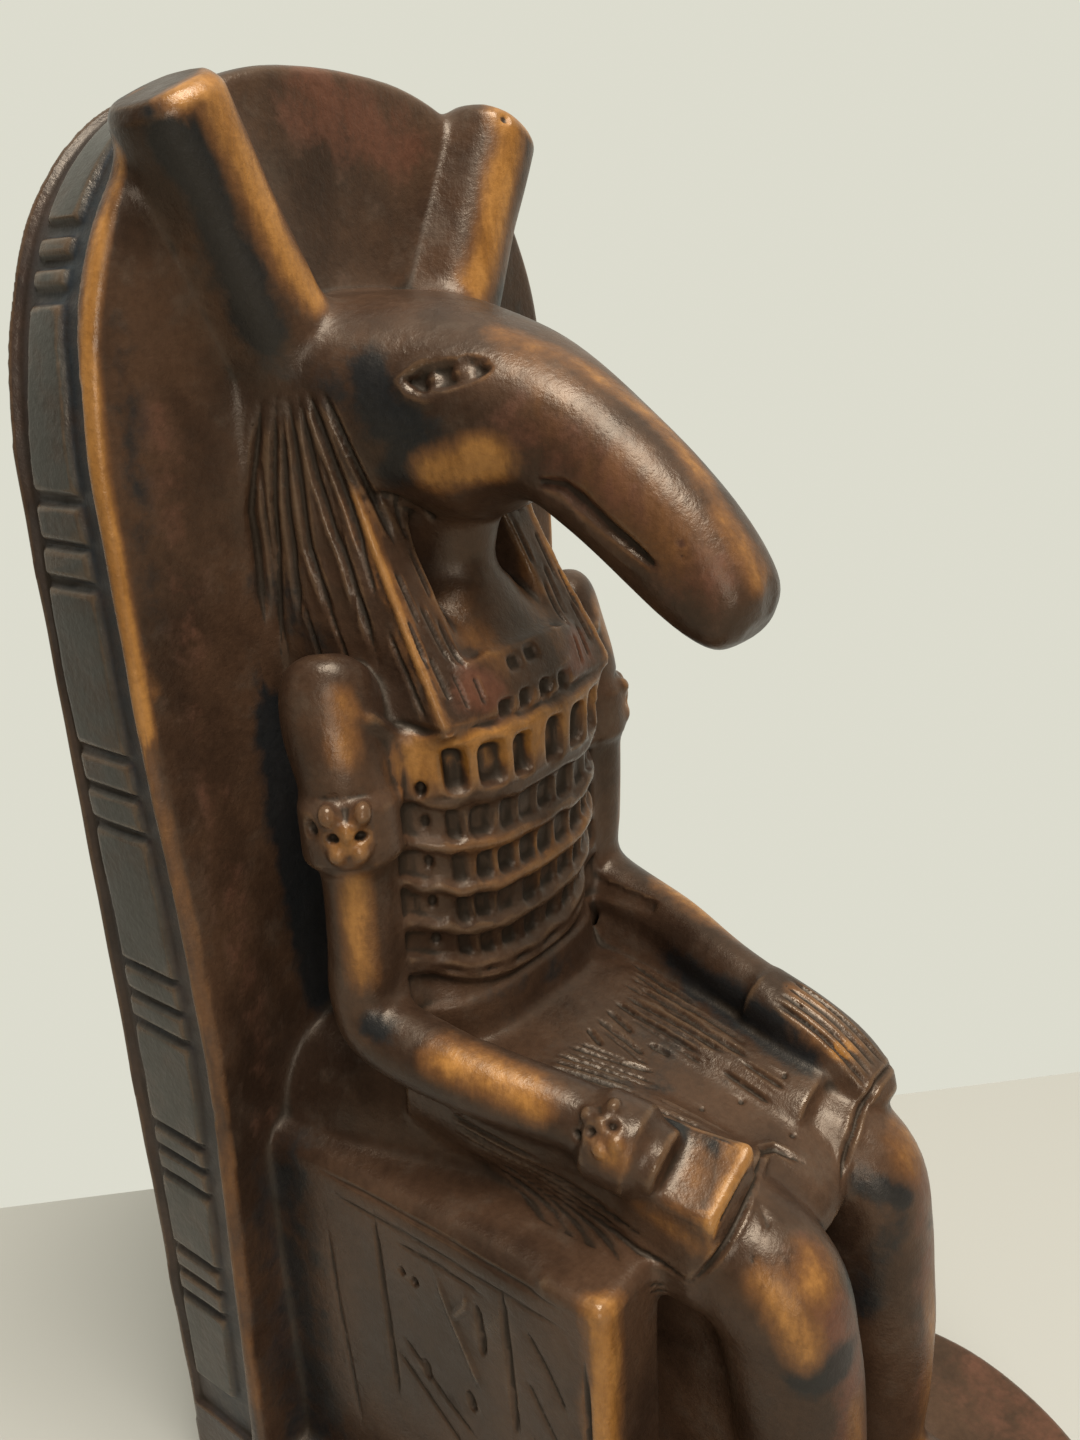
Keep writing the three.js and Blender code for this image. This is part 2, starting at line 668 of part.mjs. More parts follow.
function statue() {
  const rearCut = box([-60, base.rear, -5], [60, base.rear + 20, slab.top + 10]);
  const backed = joined([
    baseBlock(), joined([backSlab(), ...rimSwell()]).subtract(sideChannel()), ...bandBlocks(),
  ]).subtract(rearCut);
  const seat = joined([throneBlock(), ...seatSwell()]).subtract(joined(throneCuts()));
  const body = joined([torsoBody(), beltRidge(112.6, 0.9), beltRidge(109.4, 0.7), ...kiltBody()]);
  const dressed = body.subtract(joined([...netPockets(), ...pleats()]));
  const hair = joined(mirrored(wigHalf)).subtract(joined(wigStrands()));
  const skull = head().subtract(joined(headCuts()));
  const lower = joined(legs()).subtract(joined(toeCuts()));
  return joined([
    backed, seat, ...throneOrnament(), dressed, lower, ...arms(), ...hands(), ...masks(),
    hair, nape(), skull, ...eyeLumps(), ...ears(),
  ]);
}

function meshed(shape) {
  const { vertProperties, triVerts } = shape.getMesh();
  const geometry = new THREE.BufferGeometry();
  geometry.setAttribute('position', new THREE.BufferAttribute(vertProperties, 3));
  geometry.setIndex(new THREE.BufferAttribute(triVerts, 1));
  return geometry;
}

const finish = new THREE.MeshStandardMaterial({ color: 0x4a2e20, roughness: 0.38, metalness: 0 });
const figure = new THREE.Mesh(meshed(statue()), finish);
figure.name = 'seth_statue';

const group = new THREE.Group();
group.add(figure);

export default group;
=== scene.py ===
# Seated animal-headed statue on its throne: the finished cast surface, stage, lights and camera.
# The statue is shaped in millimetres and brought to metres at the end.

import math
import random

import bmesh
import bpy
import numpy as np
from mathutils import Matrix, Vector


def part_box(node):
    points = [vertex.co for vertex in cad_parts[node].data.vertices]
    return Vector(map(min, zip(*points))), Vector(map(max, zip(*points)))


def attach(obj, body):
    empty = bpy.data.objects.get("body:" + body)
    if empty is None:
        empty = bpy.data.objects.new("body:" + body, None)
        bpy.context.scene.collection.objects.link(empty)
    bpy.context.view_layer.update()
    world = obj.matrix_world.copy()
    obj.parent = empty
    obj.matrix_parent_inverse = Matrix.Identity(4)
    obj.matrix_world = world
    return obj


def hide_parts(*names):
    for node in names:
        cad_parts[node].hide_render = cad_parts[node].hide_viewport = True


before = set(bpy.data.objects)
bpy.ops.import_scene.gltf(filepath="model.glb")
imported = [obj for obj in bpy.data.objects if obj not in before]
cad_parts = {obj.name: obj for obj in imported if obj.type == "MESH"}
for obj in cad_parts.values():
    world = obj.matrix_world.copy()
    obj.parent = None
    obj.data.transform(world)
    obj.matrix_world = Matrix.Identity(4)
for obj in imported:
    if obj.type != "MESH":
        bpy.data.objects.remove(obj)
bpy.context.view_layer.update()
toMetres = 0.001
lowCorner, highCorner = (np.array(corner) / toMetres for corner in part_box("seth_statue"))
sides = (-1, 1)  # the figure's right hand side, nearest the camera, and then its left


# Shaping helpers

def power(value, square):
    return math.copysign(abs(value) ** (2 / square), value)


def unit(way):
    way = np.array(way, float)
    return way / np.linalg.norm(way)


def ring(x, y, z, wide, deep=None, square=2.0, up=(0, 0, 0)):
    return np.array([x, y, z, wide, wide if deep is None else deep, square, *up], float)


# A smooth path through a few rings
def smooth(rings, steps=5):
    ends = [2 * rings[0] - rings[1], *rings, 2 * rings[-1] - rings[-2]]
    rows = []
    for a, b, c, d in zip(ends, ends[1:], ends[2:], ends[3:]):
        for t in np.arange(steps) / steps:
            bend = (2 * a - 5 * b + 4 * c - d) * t ** 2 + (3 * b - a - 3 * c + d) * t ** 3
            rows.append(0.5 * (2 * b + (c - a) * t + bend))
    return rows + [rings[-1]]


# Closed skin over a row of rings
def skin(bm, rows, count=44):
    places = [Vector(row[:3]) for row in rows]
    loops = []
    for i, row in enumerate(rows):
        wide, deep, square = row[3:6]
        along = (places[min(i + 1, len(rows) - 1)] - places[max(i - 1, 0)]).normalized()
        across = (Vector((1, 0, 0)) - along * along.x).normalized()
        up = along.cross(across)
        if any(row[6:]):
            across, up = Vector((1, 0, 0)), Vector(row[6:]).normalized()
        circle = bmesh.ops.create_circle(bm, segments=count, radius=1)["verts"]
        for vert in circle:
            x, y = power(vert.co.x, square), power(vert.co.y, square)
            vert.co = places[i] + across * wide * x + up * deep * y
        loops.append(list(dict.fromkeys(edge for vert in circle for edge in vert.link_edges)))
    for one, two in zip(loops, loops[1:]):
        bmesh.ops.bridge_loops(bm, edges=one + two)
    for end in (loops[0], loops[-1]):
        bmesh.ops.contextual_create(bm, geom=end)


# Flat outline, a unit circle bent by a rule, drawn out along a vector
def drawnOut(bm, rule, way, count=200):
    verts = bmesh.ops.create_circle(bm, cap_ends=True, segments=count, radius=1)["verts"]
    for vert in verts:
        vert.co = rule(vert.co.x, vert.co.y)
    grown = bmesh.ops.extrude_face_region(bm, geom=verts[0].link_faces[:])["geom"]
    far = [item for item in grown if isinstance(item, bmesh.types.BMVert)]
    bmesh.ops.translate(bm, vec=way, verts=far)
    return verts, far


def bevelled(bm, edges, offset, segments=3):
    bmesh.ops.bevel(
        bm, geom=edges, offset=offset, segments=segments, profile=0.5, affect="EDGES", material=-1,
    )


# Block with four lower and four upper corners, anticlockwise from the front left
def block(bm, low, high, soft=0.0):
    verts = bmesh.ops.create_cube(bm, size=1)["verts"]
    order = {(True, True): 0, (False, True): 1, (False, False): 2, (True, False): 3}
    for vert in verts:
        corner = order[(vert.co.x < 0, vert.co.y < 0)]
        vert.co = Vector((low if vert.co.z < 0 else high)[corner])
    if soft:
        bevelled(bm, list(dict.fromkeys(edge for vert in verts for edge in vert.link_edges)), soft)


def box(bm, low, high, soft=0.0):
    (x0, y0, z0), (x1, y1, z1) = low, high
    plan = [(x0, y0), (x1, y0), (x1, y1), (x0, y1)]
    block(bm, [(x, y, z0) for x, y in plan], [(x, y, z1) for x, y in plan], soft)


# Slab, base and throne

slab = dict(half=49.9, front=58.5, spring=188.0, top=highCorner[2], arch=2.5, foot=6.0, edge=1.7)
base = dict(half=highCorner[0], rear=highCorner[1], nose=-29.0, top=16.5, edge=1.4)
throne = dict(half=39.5, front=-11.5, top=85.5, stripInner=24.0, recess=-4.0, foot=10.0)


# The rim between the slab's face and its band, seen from the side, and where it bows forward
slabRim = dict(z=(20, 47, 76, 104, 131, 160, 207, 219), y=(62, 60.2, 58.4, 56.8, 58, 60.3, 61.6, 63))
bow = dict(low=40, high=170, inner=30, edge=47.7, ahead=2.0, cornerAhead=0.6, sunk=1.0, back=4.0)


# Unit circle whose lower half is squared off
def squaredBelow(x, y):
    if y >= 0:
        return x, y
    reach = max(abs(x), abs(y))
    return x / reach, y / reach


def makeSlab(bm):
    def rule(x, y):
        x, y = squaredBelow(x, y)
        if y < 0:
            drop = (slab["spring"] - slab["foot"]) * y
            return Vector((slab["half"] * x, base["rear"], slab["spring"] + drop))
        rise = (slab["top"] - slab["spring"]) * power(y, slab["arch"])
        return Vector((slab["half"] * power(x, slab["arch"]), base["rear"], slab["spring"] + rise))

    _, front = drawnOut(bm, rule, (0, slab["front"] - base["rear"], 0))
    rim = [edge for vert in front for edge in vert.link_edges if edge.other_vert(vert) in front]
    bevelled(bm, list(dict.fromkeys(rim)), slab["edge"], 4)


# Section of the bow at one level
def bowSection(side, y, z):
    half, back = slab["half"], slab["front"] + bow["back"]
    plan = [
        (bow["inner"], slab["front"] + bow["sunk"]), (bow["edge"], y - bow["ahead"]),
        (half, y - bow["cornerAhead"]), (half, back), (bow["inner"], back),
    ]
    return [Vector((side * x, depth, z)) for x, depth in plan]


def makeBow(bm):
    rows = [(y, z) for y, z in zip(slabRim["y"], slabRim["z"]) if bow["low"] < z < bow["high"]]
    for side in sides:
        for lower, upper in zip(rows, rows[1:]):
            low, high = bowSection(side, *lower), bowSection(side, *upper)
            verts = bmesh.ops.create_circle(bm, cap_ends=True, segments=len(low), radius=1)["verts"]
            for vert, place in zip(verts, low):
                vert.co = place
            grown = bmesh.ops.extrude_face_region(bm, geom=verts[0].link_faces[:])["geom"]
            for vert in [item for item in grown if isinstance(item, bmesh.types.BMVert)]:
                corner = min(range(len(low)), key=lambda i: (vert.co - low[i]).length)
                vert.co = high[corner]


def makeBase(bm):
    def rule(x, y):
        x, y = squaredBelow(x, -y)
        if y < 0:
            return Vector((base["half"] * x, base["nose"] - (base["rear"] - base["nose"]) * y, 0))
        return Vector((base["half"] * x, base["nose"] - base["half"] * y, 0))

    _, top = drawnOut(bm, rule, (0, 0, base["top"]))
    rim = [edge for vert in top for edge in vert.link_edges if edge.other_vert(vert) in top]
    bevelled(bm, list(dict.fromkeys(rim)), base["edge"])


def makeThrone(bm):
    half, front, top = throne["half"], throne["front"], throne["top"]
    recess, foot = throne["recess"], throne["foot"]
    box(bm, (-half, recess, foot), (half, slab["front"] + 3, top), 4.2)
    box(bm, (-half, front, top - 8), (half, recess + 5, top), 2.4)
    for side in sides:
        inner, outer = sorted((side * throne["stripInner"], side * half))
        box(bm, (inner, front, foot), (outer, recess + 5, top), 2.0)
        skin(bm, [
            ring(side * 22, 62, 84, 12.5, 16),
            ring(side * 22, 46, 84, 12, 16),
            ring(side * 21.5, 32, 83.5, 9, 14),
            ring(side * 21, 14, 82, 5, 8),
        ])


# Body

torso = dict(half=24.2, front=24.4, waist=28.0, neckHalf=8.2, neckFront=35.2, square=3.0)
kilt = dict(hem=-18.0, half=26.0, thigh=14.0)
leg = dict(x=14.6, kneeY=-25.5, kneeZ=84.0, radius=9.7, shinY=-30.5, toe=-66.0)
arm = dict(x=30.8, y=38.2, top=168.5, elbow=109.0, radius=5.4)
wrist = dict(x=23.2, y=-1.0, z=100.6)


def makeTorso(bm):
    back = slab["front"] + 4

    def level(z, half, front, square):
        return ring(0, (back + front) / 2, z, half, (back - front) / 2, square)

    half, front, waist, square = torso["half"], torso["front"], torso["waist"], torso["square"]
    skin(bm, smooth([
        level(78, half, waist - 2, square),
        level(104, half, waist - 1, square),
        level(114, half - 1.5, waist, square),
        level(128, half - 0.5, waist - 1.8, square),
        level(142, half, front + 0.8, square),
        level(153, half, front, square),
        level(156.6, half - 0.6, front + 0.6, square),
        level(159.4, half - 1.8, front + 3.0, 2.8),
        level(164, half - 6, front + 5.4, 2.5),
        level(169, torso["neckHalf"] + 4.4, torso["neckFront"] - 3, 2.3),
        level(173, torso["neckHalf"] + 1.4, torso["neckFront"] - 0.8, 2.2),
        level(178, torso["neckHalf"], torso["neckFront"], 2.2),
        level(184, torso["neckHalf"] + 0.6, torso["neckFront"] - 1.2, 2.2),
        level(194, torso["neckHalf"] + 2, torso["neckFront"] - 2.4, 2.2),
    ]), 72)
    skin(bm, [level(158, 18, 41, 3), level(190, 18, 47, 3)])


def makeKilt(bm):
    for side in sides:
        def thigh(y, x, z, wide, deep):
            return ring(side * x, y, z, wide, deep, 2.5)

        skin(bm, smooth([
            thigh(50, 13, 91, 13.5, 10),
            thigh(30, 13.4, 90, 13, 11),
            thigh(12, 13.8, 88, 12.6, 11.2),
            thigh(-4, kilt["thigh"], 85.8, 12, 11.4),
            thigh(kilt["hem"], kilt["thigh"] + 0.4, 84.4, kilt["half"] - kilt["thigh"] - 0.4, 11.2),
        ]))
    skin(bm, smooth([
        ring(0, 46, 92, 22, 13, 3),
        ring(0, 26, 91, 20, 10, 3),
        ring(0, 4, 86.5, 18, 9, 3),
        ring(0, kilt["hem"], 83, 15, 8, 2.6),
        ring(0.6, kilt["hem"] - 6.4, 78.4, 7, 5.4, 2.3),
    ]))


def makeLegs(bm):
    x, kneeY, kneeZ, radius, shinY = (leg[key] for key in ("x", "kneeY", "kneeZ", "radius", "shinY"))
    for side in sides:
        def part(x, y, z, wide, deep):
            return ring(side * x, y, z, wide, deep, 2.2)

        skin(bm, smooth([
            part(x, 0, 85, 10.6, 10.2),
            part(x, -14, kneeZ, 10.4, 10),
            part(x + 0.3, kneeY + 1.4, kneeZ - 4.4, 10, radius + 1),
            part(x, shinY + 3, 70, radius - 0.3, radius + 0.4),
            part(x - 0.4, shinY + 1, 54, radius - 0.4, radius),
            part(x - 0.2, shinY, 38, radius - 1.2, radius - 0.8),
            part(x, shinY - 0.5, 26, 7.6, 8),
            part(x, shinY - 1, 10, 8, 9.4),
        ], 8))
        skin(bm, smooth([
            part(x, -22, 18, 6.6, 7),
            part(x, -32, 18, 7.6, 9),
            part(x + 0.6, -46, 17, 8, 7.2),
            part(x + 1, -58, 16, 8.6, 5.2),
            part(x + 0.6, leg["toe"], 15.4, 6.6, 3.4),
        ]))
        box(bm, (side * x - 5, shinY + 3, 12), (side * x + 5, throne["recess"] + 3, 82))


def makeArms(bm):
    x, y, top, elbow, radius = (arm[key] for key in ("x", "y", "top", "elbow", "radius"))
    for side in sides:
        def part(x, y, z, wide, deep=None):
            return ring(side * x, y, z, wide, deep)

        skin(bm, smooth([
            part(x - 3, y + 5, top, 3),
            part(x - 2.4, y + 4.4, top - 2.6, 6.4),
            part(x - 2, y + 3.8, 159, 7.6),
            part(x - 0.8, y + 1, 150, 6.8),
            part(x + 0.2, y - 0.4, 138, radius),
            part(x + 0.2, y, 124, radius),
            part(x, y + 0.8, elbow + 5, radius + 0.2),
            part(x - 0.4, y - 3.4, elbow - 0.6, radius + 0.6),
            part(x - 2.6, 19, elbow - 4, radius + 0.2),
            part(wrist["x"] + 0.6, wrist["y"] + 5, wrist["z"] + 1.4, radius - 0.2),
            part(wrist["x"] - 1.6, wrist["y"] - 10, wrist["z"] - 2, radius, 4.4),
        ], 7), 32)

        def cuff(at, along, size, half):
            spots = [(-1, size - 1.2), (-0.8, size - 0.2), (0.8, size - 0.1), (1, size - 1.2)]
            skin(bm, [ring(*(np.array(at) + np.array(along) * half * share), r) for share, r in spots], 32)

        cuff([side * (x - 0.2), y, 143.8], [0, 0, -1], 7.8 if side < 0 else 7.2, 5.4)
        inner, outer = sorted((side * 16, side * x))
        box(bm, (inner, y - 4, 104 if side < 0 else 93), (outer, y + 5, 157), 1.0)
        skin(bm, smooth([
            part(26, 33, 98, 4.6, 8), part(25, 19, 96, 4.6, 8),
            part(21.5, 4, 94, 4.4, 6), part(19.6, -8, 92, 3.6, 5),
        ]))
    cuff([0.4 - wrist["x"], wrist["y"] - 2.6, wrist["z"] - 0.6], [0.18, -0.96, -0.2], 7, 4.2)
    palm = [(-24.5, -20, 86), (-12.5, -20.5, 90), (-14.5, -4, 92), (-26, -5, 88)]
    knuckles = [(-25, -20.2, 94.2), (-13, -20.8, 101), (-15, -6, 101), (-25.6, -7.5, 96.2)]
    block(bm, palm, knuckles, 0.8)
    skin(bm, smooth([  # the other hand lies flatter and reaches over the knee
        ring(21.6, -3, 101, 5.6, 5, 2.4),
        ring(20.8, -12, 98.8, 6, 4.4, 2.6),
        ring(20.6, -19, 95.6, 6.2, 3.8, 2.8),
        ring(20.2, -24.4, 91.8, 5.4, 3.2, 2.8),
        ring(20, -27, 89.6, 3.2, 2.2, 2.6),
    ]))


# Head, ears and wig

ear = dict(inner=(26.6, 247.6), outer=(40.4, 241.0), y=56.8, deep=8.7)
earFoot = dict(inner=(12.5, 219.0), outer=(27.5, 213.0))
wigRows = [  # height and front, then x at the slab, at the front ridge and inside the lappet
    dict(z=156.4, front=25.4, rear=22.0, ridge=21.6, inner=9.2),
    dict(z=166.0, front=31.0, rear=23.2, ridge=20.2, inner=11.2),
    dict(z=174.0, front=35.2, rear=24.2, ridge=19.2, inner=11.4),
    dict(z=182.0, front=39.4, rear=25.2, ridge=18.4, inner=11.0),
    dict(z=190.0, front=42.4, rear=26.4, ridge=18.6, inner=9.0),
    dict(z=202.0, front=44.5, rear=28.0, ridge=20.0, inner=5.0),
    dict(z=216.0, front=48.0, rear=22.0, ridge=14.0, inner=3.0),
]
headRings = [  # y and z on top, y and z below, half width
    (62, 217.4, 62, 190, 22), (50, 218.6, 49, 188.4, 21.6), (41, 217.6, 41, 187.2, 19.6),
    (33, 215.6, 31.5, 185.4, 16.4), (25.4, 213, 24, 188.8, 14), (18.4, 209.8, 19.5, 188, 11.8),
    (10.9, 205.2, 15.4, 185, 10.2), (4.4, 200.2, 9.6, 180.8, 9.4), (-2, 194.8, 4.2, 176.8, 9),
    (-7.8, 189.4, -0.8, 173.2, 8.6), (-12.2, 184, -5.2, 170.8, 8), (-14.6, 179.2, -8.6, 170, 6.8),
    (-14.2, 175, -11.6, 171.4, 4),
]


def makeHead(bm):
    rows = []
    for topY, topZ, underY, underZ, wide in headRings:
        up = np.array([0, topY - underY, topZ - underZ])
        middle = (0, (topY + underY) / 2, (topZ + underZ) / 2)
        rows.append(ring(*middle, wide, np.linalg.norm(up) / 2, 2.4, up / np.linalg.norm(up)))
    skin(bm, smooth(rows), 64)


def makeEars(bm):
    def across(pair):
        inner, outer = (np.array(pair[key]) for key in ("inner", "outer"))
        return (inner + outer) / 2, np.linalg.norm(outer - inner) / 2

    (lowMiddle, lowHalf), (highMiddle, highHalf) = across(earFoot), across(ear)
    for side in sides:
        def part(t, grow, deep):
            x, z = lowMiddle + (highMiddle - lowMiddle) * t
            half = lowHalf + (highHalf - lowHalf) * t + grow
            return ring(side * x, ear["y"] - t * 0.5, z, half, deep, 2.3)

        deep = ear["deep"]
        skin(bm, [
            part(-0.5, 1.5, 8), part(0, 0, deep), part(0.5, -0.2, deep - 0.8),
            part(0.94, 0, deep - 0.6), part(1, -1.4, deep - 2.2),
        ], 44)


def makeWig(bm):
    rear = slab["front"] + 1
    for side in sides:
        def corners(row):
            z, front = row["z"], row["front"]
            plan = [
                (side * row["inner"], front - 0.4, z), (side * row["ridge"], front, z),
                (side * row["rear"], rear, z), (side * row["inner"], rear, z),
            ]
            return plan[::side]

        for lower, upper in zip(wigRows, wigRows[1:]):
            block(bm, corners(lower), corners(upper))


# Even skin of small squares over a mesh, which also joins whatever overlaps
def evenSkin(mesh, size):
    holder = bpy.data.objects.new("casting", mesh)
    bpy.context.collection.objects.link(holder)
    tool = holder.modifiers.new("even skin", "REMESH")
    tool.mode = "VOXEL"
    tool.voxel_size = size
    graph = bpy.context.evaluated_depsgraph_get()
    made = bpy.data.meshes.new_from_object(holder.evaluated_get(graph))
    bpy.data.objects.remove(holder)
    return made


def readSkin(mesh):
    count = len(mesh.vertices)
    spots, ways = np.empty(count * 3, np.float32), np.empty(count * 3, np.float32)
    mesh.vertices.foreach_get("co", spots)
    mesh.vertex_normals.foreach_get("vector", ways)
    return spots.reshape(-1, 3).astype(float), ways.reshape(-1, 3).astype(float)


def writeSkin(mesh, spots):
    mesh.vertices.foreach_set("co", spots.astype(np.float32).ravel())
    mesh.update()


def meshEdges(mesh):
    pairs = np.empty(len(mesh.edges) * 2, np.int32)
    mesh.edges.foreach_get("vertices", pairs)
    return pairs.reshape(-1, 2)


# Step from each vertex to the middle of its neighbours
def pull(spots, pairs, count):
    a, b = pairs[:, 0], pairs[:, 1]
    middle = np.empty_like(spots)
    for axis in range(spots.shape[1]):
        total = np.bincount(a, spots[b, axis], len(spots)) + np.bincount(b, spots[a, axis], len(spots))
        middle[:, axis] = total / count
    return middle - spots


def neighbourCount(pairs, total):
    return np.maximum(np.bincount(pairs.ravel(), minlength=total), 1)


def relax(mesh, rounds, share=0.5):
    spots, _ = readSkin(mesh)
    pairs = meshEdges(mesh)
    count = neighbourCount(pairs, len(spots))
    for _ in range(rounds):
        spots = spots + pull(spots, pairs, count) * share
    writeSkin(mesh, spots)


# Softens inner corners inside a box and leaves outer ones, as wax or a worn mould does
def fillCorners(mesh, low, high, rounds):
    spots, _ = readSkin(mesh)
    fade = np.clip(np.minimum(spots - low, high - spots).min(axis=1) / 4, 0, 1)
    inside = np.flatnonzero(fade > 0)
    order = np.full(len(spots), -1)
    order[inside] = np.arange(len(inside))
    pairs = order[meshEdges(mesh)]
    pairs = pairs[(pairs >= 0).all(axis=1)]
    count = neighbourCount(pairs, len(inside))
    for _ in range(rounds // 8):
        spots, ways = readSkin(mesh)
        here, ways = spots[inside], ways[inside]
        for _ in range(8):
            step = pull(here, pairs, count)
            rise = np.maximum(np.einsum("ij,ij->i", step, ways), 0) * fade[inside]
            here = here + ways * rise[:, None]
        spots[inside] = here
        writeSkin(mesh, spots)


def ramp(value, low, high):
    t = np.clip((value - low) / (high - low), 0, 1)
    return t * t * (3 - 2 * t)


# Forms joined and evened

def joinedForms(size):
    bm = bmesh.new()
    for make in (
        makeSlab, makeBow, makeBase, makeThrone, makeTorso, makeKilt, makeLegs, makeArms, makeHead, makeEars,
        makeWig,
    ):
        make(bm)
    bmesh.ops.recalc_face_normals(bm, faces=bm.faces)
    rough = bpy.data.meshes.new("statue forms")
    bm.to_mesh(rough)
    bm.free()
    return evenSkin(rough, size)


# Carving: marks gather as depths and heights on the vertices, and are pressed in together

def startCarving(mesh):
    spots, ways = readSkin(mesh)
    return dict(mesh=mesh, spots=spots, ways=ways, sink=np.zeros(len(spots)), rise=np.zeros(len(spots)))


def finishCarving(cast):
    writeSkin(cast["mesh"], cast["spots"] + cast["ways"] * (cast["rise"] - cast["sink"])[:, None])


def zone(cast, low, high, facing=None, least=0.35):
    inside = np.all((cast["spots"] >= low) & (cast["spots"] <= high), axis=1)
    if facing is not None:
        inside &= cast["ways"] @ unit(facing) > least
    return np.flatnonzero(inside)


def press(cast, picked, depth):
    cast["sink"][picked] = np.maximum(cast["sink"][picked], depth)


def lift(cast, picked, height):
    cast["rise"][picked] = np.maximum(cast["rise"][picked], height)


def mirrored(points, side):
    return [(side * -x, y, z) for x, y, z in points]


# Distance from each spot to a bent line seen along a direction, and the share of the line passed there
def gapToLine(spots, line, facing=None):
    line = np.array(line, float)
    way = np.zeros(3) if facing is None else unit(facing)
    gap, along, done = np.full(len(spots), 1e3), np.zeros(len(spots)), 0.0
    for start, end in zip(line, line[1:]):
        span = (end - start) - way * ((end - start) @ way)
        away = spots - start
        away = away - np.outer(away @ way, way)
        t = np.clip(away @ span / (span @ span), 0, 1)
        here = np.linalg.norm(away - np.outer(t, span), axis=1)
        length = np.linalg.norm(span)
        along = np.where(here < gap, done + t * length, along)
        gap = np.minimum(gap, here)
        done += length
    return gap, along / done


# Groove along a line, thinning out at its ends, with an optional raised lip on both sides
def stroke(cast, line, width, depth, facing, lip=0.0, least=0.3):
    line = np.array(line, float)
    picked = zone(cast, line.min(axis=0) - 4, line.max(axis=0) + 4, facing, least)
    gap, share = gapToLine(cast["spots"][picked], line, facing)
    thin = np.clip(np.minimum(share, 1 - share) * 6, 0.2, 1)
    across = gap / (width / 2 * thin)
    press(cast, picked, depth * thin * np.clip(1 - across ** 2, 0, 1) ** 1.5)
    if lip:
        lift(cast, picked, lip * thin * np.exp(-((gap - width * 0.8) / (width * 0.35)) ** 2))


def bead(cast, line, width, height, facing, least=0.2):
    line = np.array(line, float)
    picked = zone(cast, line.min(axis=0) - 4, line.max(axis=0) + 4, facing, least)
    gap, share = gapToLine(cast["spots"][picked], line, facing)
    thin = np.clip(np.minimum(share, 1 - share) * 6, 0.3, 1)
    lift(cast, picked, height * thin * np.clip(1 - (gap / (width / 2)) ** 2, 0, 1) ** 1.5)


# Soft round place seen along a direction: 1 in the middle and 0 at its rim
def roundPlace(cast, place, facing, up, wide, high, least=0.1):
    reach = max(wide, high) + 2
    picked = zone(cast, np.array(place) - reach, np.array(place) + reach, facing, least)
    front = unit(facing)
    across = unit(np.cross(up, front))
    away = cast["spots"][picked] - place
    share = (away @ across / wide) ** 2 + (away @ np.cross(front, across) / high) ** 2
    return picked, np.clip(1 - share, 0, 1)


def hole(cast, place, facing, wide, depth, high=None, up=(0, 0, 1)):
    picked, share = roundPlace(cast, place, facing, up, wide, wide if high is None else high)
    press(cast, picked, depth * ramp(share, 0, 0.6))


def lump(cast, place, facing, wide, height, high=None, up=(0, 0, 1)):
    picked, share = roundPlace(cast, place, facing, up, wide, wide if high is None else high)
    lift(cast, picked, height * ramp(share, 0, 0.9))


# Slow waver over a set of values, different for each seed
def waver(values, length, seed):
    turn = random.Random(seed)
    parts = [(turn.uniform(0.6, 1.6), turn.uniform(0, 6.3)) for _ in range(3)]
    return sum(np.sin(values * 2 * math.pi / length * rate + phase) for rate, phase in parts) / 3


# Slow unevenness in space, as left by hand work
def uneven(spots, length, seed):
    turn = random.Random(seed)
    total = np.zeros(len(spots))
    for _ in range(7):
        way = unit([turn.gauss(0, 1) for _ in range(3)]) * 2 * math.pi / (length * turn.uniform(0.7, 1.5))
        total += np.sin(spots @ way + turn.uniform(0, 6.3))
    return total / 4


def window(values, low, high, soft=0.35):
    return ramp(values, low - soft / 2, low + soft) * (1 - ramp(values, high - soft, high + soft / 2))


# Band down both edges of the slab, with sunk ground and raised blocks

band = dict(depth=1.3, blockDepth=0.15, rear=78.4, margin=4.2, bottom=20.0)
straightBlocks = [
    (28, 47.5), (49, 53.2), (54.4, 58.4), (59.6, 75), (76.2, 80.2), (81.4, 85.4), (86.6, 106), (107.2, 111.4),
    (112.6, 117), (118.2, 142), (143.2, 148.2), (149.4, 154.2), (155.4, 180.2), (181.6, 186), (187, 192.2),
]
archBlocks = [  # shares of the arch
    (0.0158, 0.138), (0.15, 0.166), (0.1755, 0.1935), (0.206, 0.366), (0.3855, 0.6145),
]
blockRear = dict(z=(31, 95, 125, 169, 200, 212), y=(76.8, 75.6, 75.6, 77.4, 75.8, 74.8))
lastStraight = 192.8  # height at which the arch's blocks begin


def rimAt(z):
    return np.interp(z, slabRim["z"], slabRim["y"])


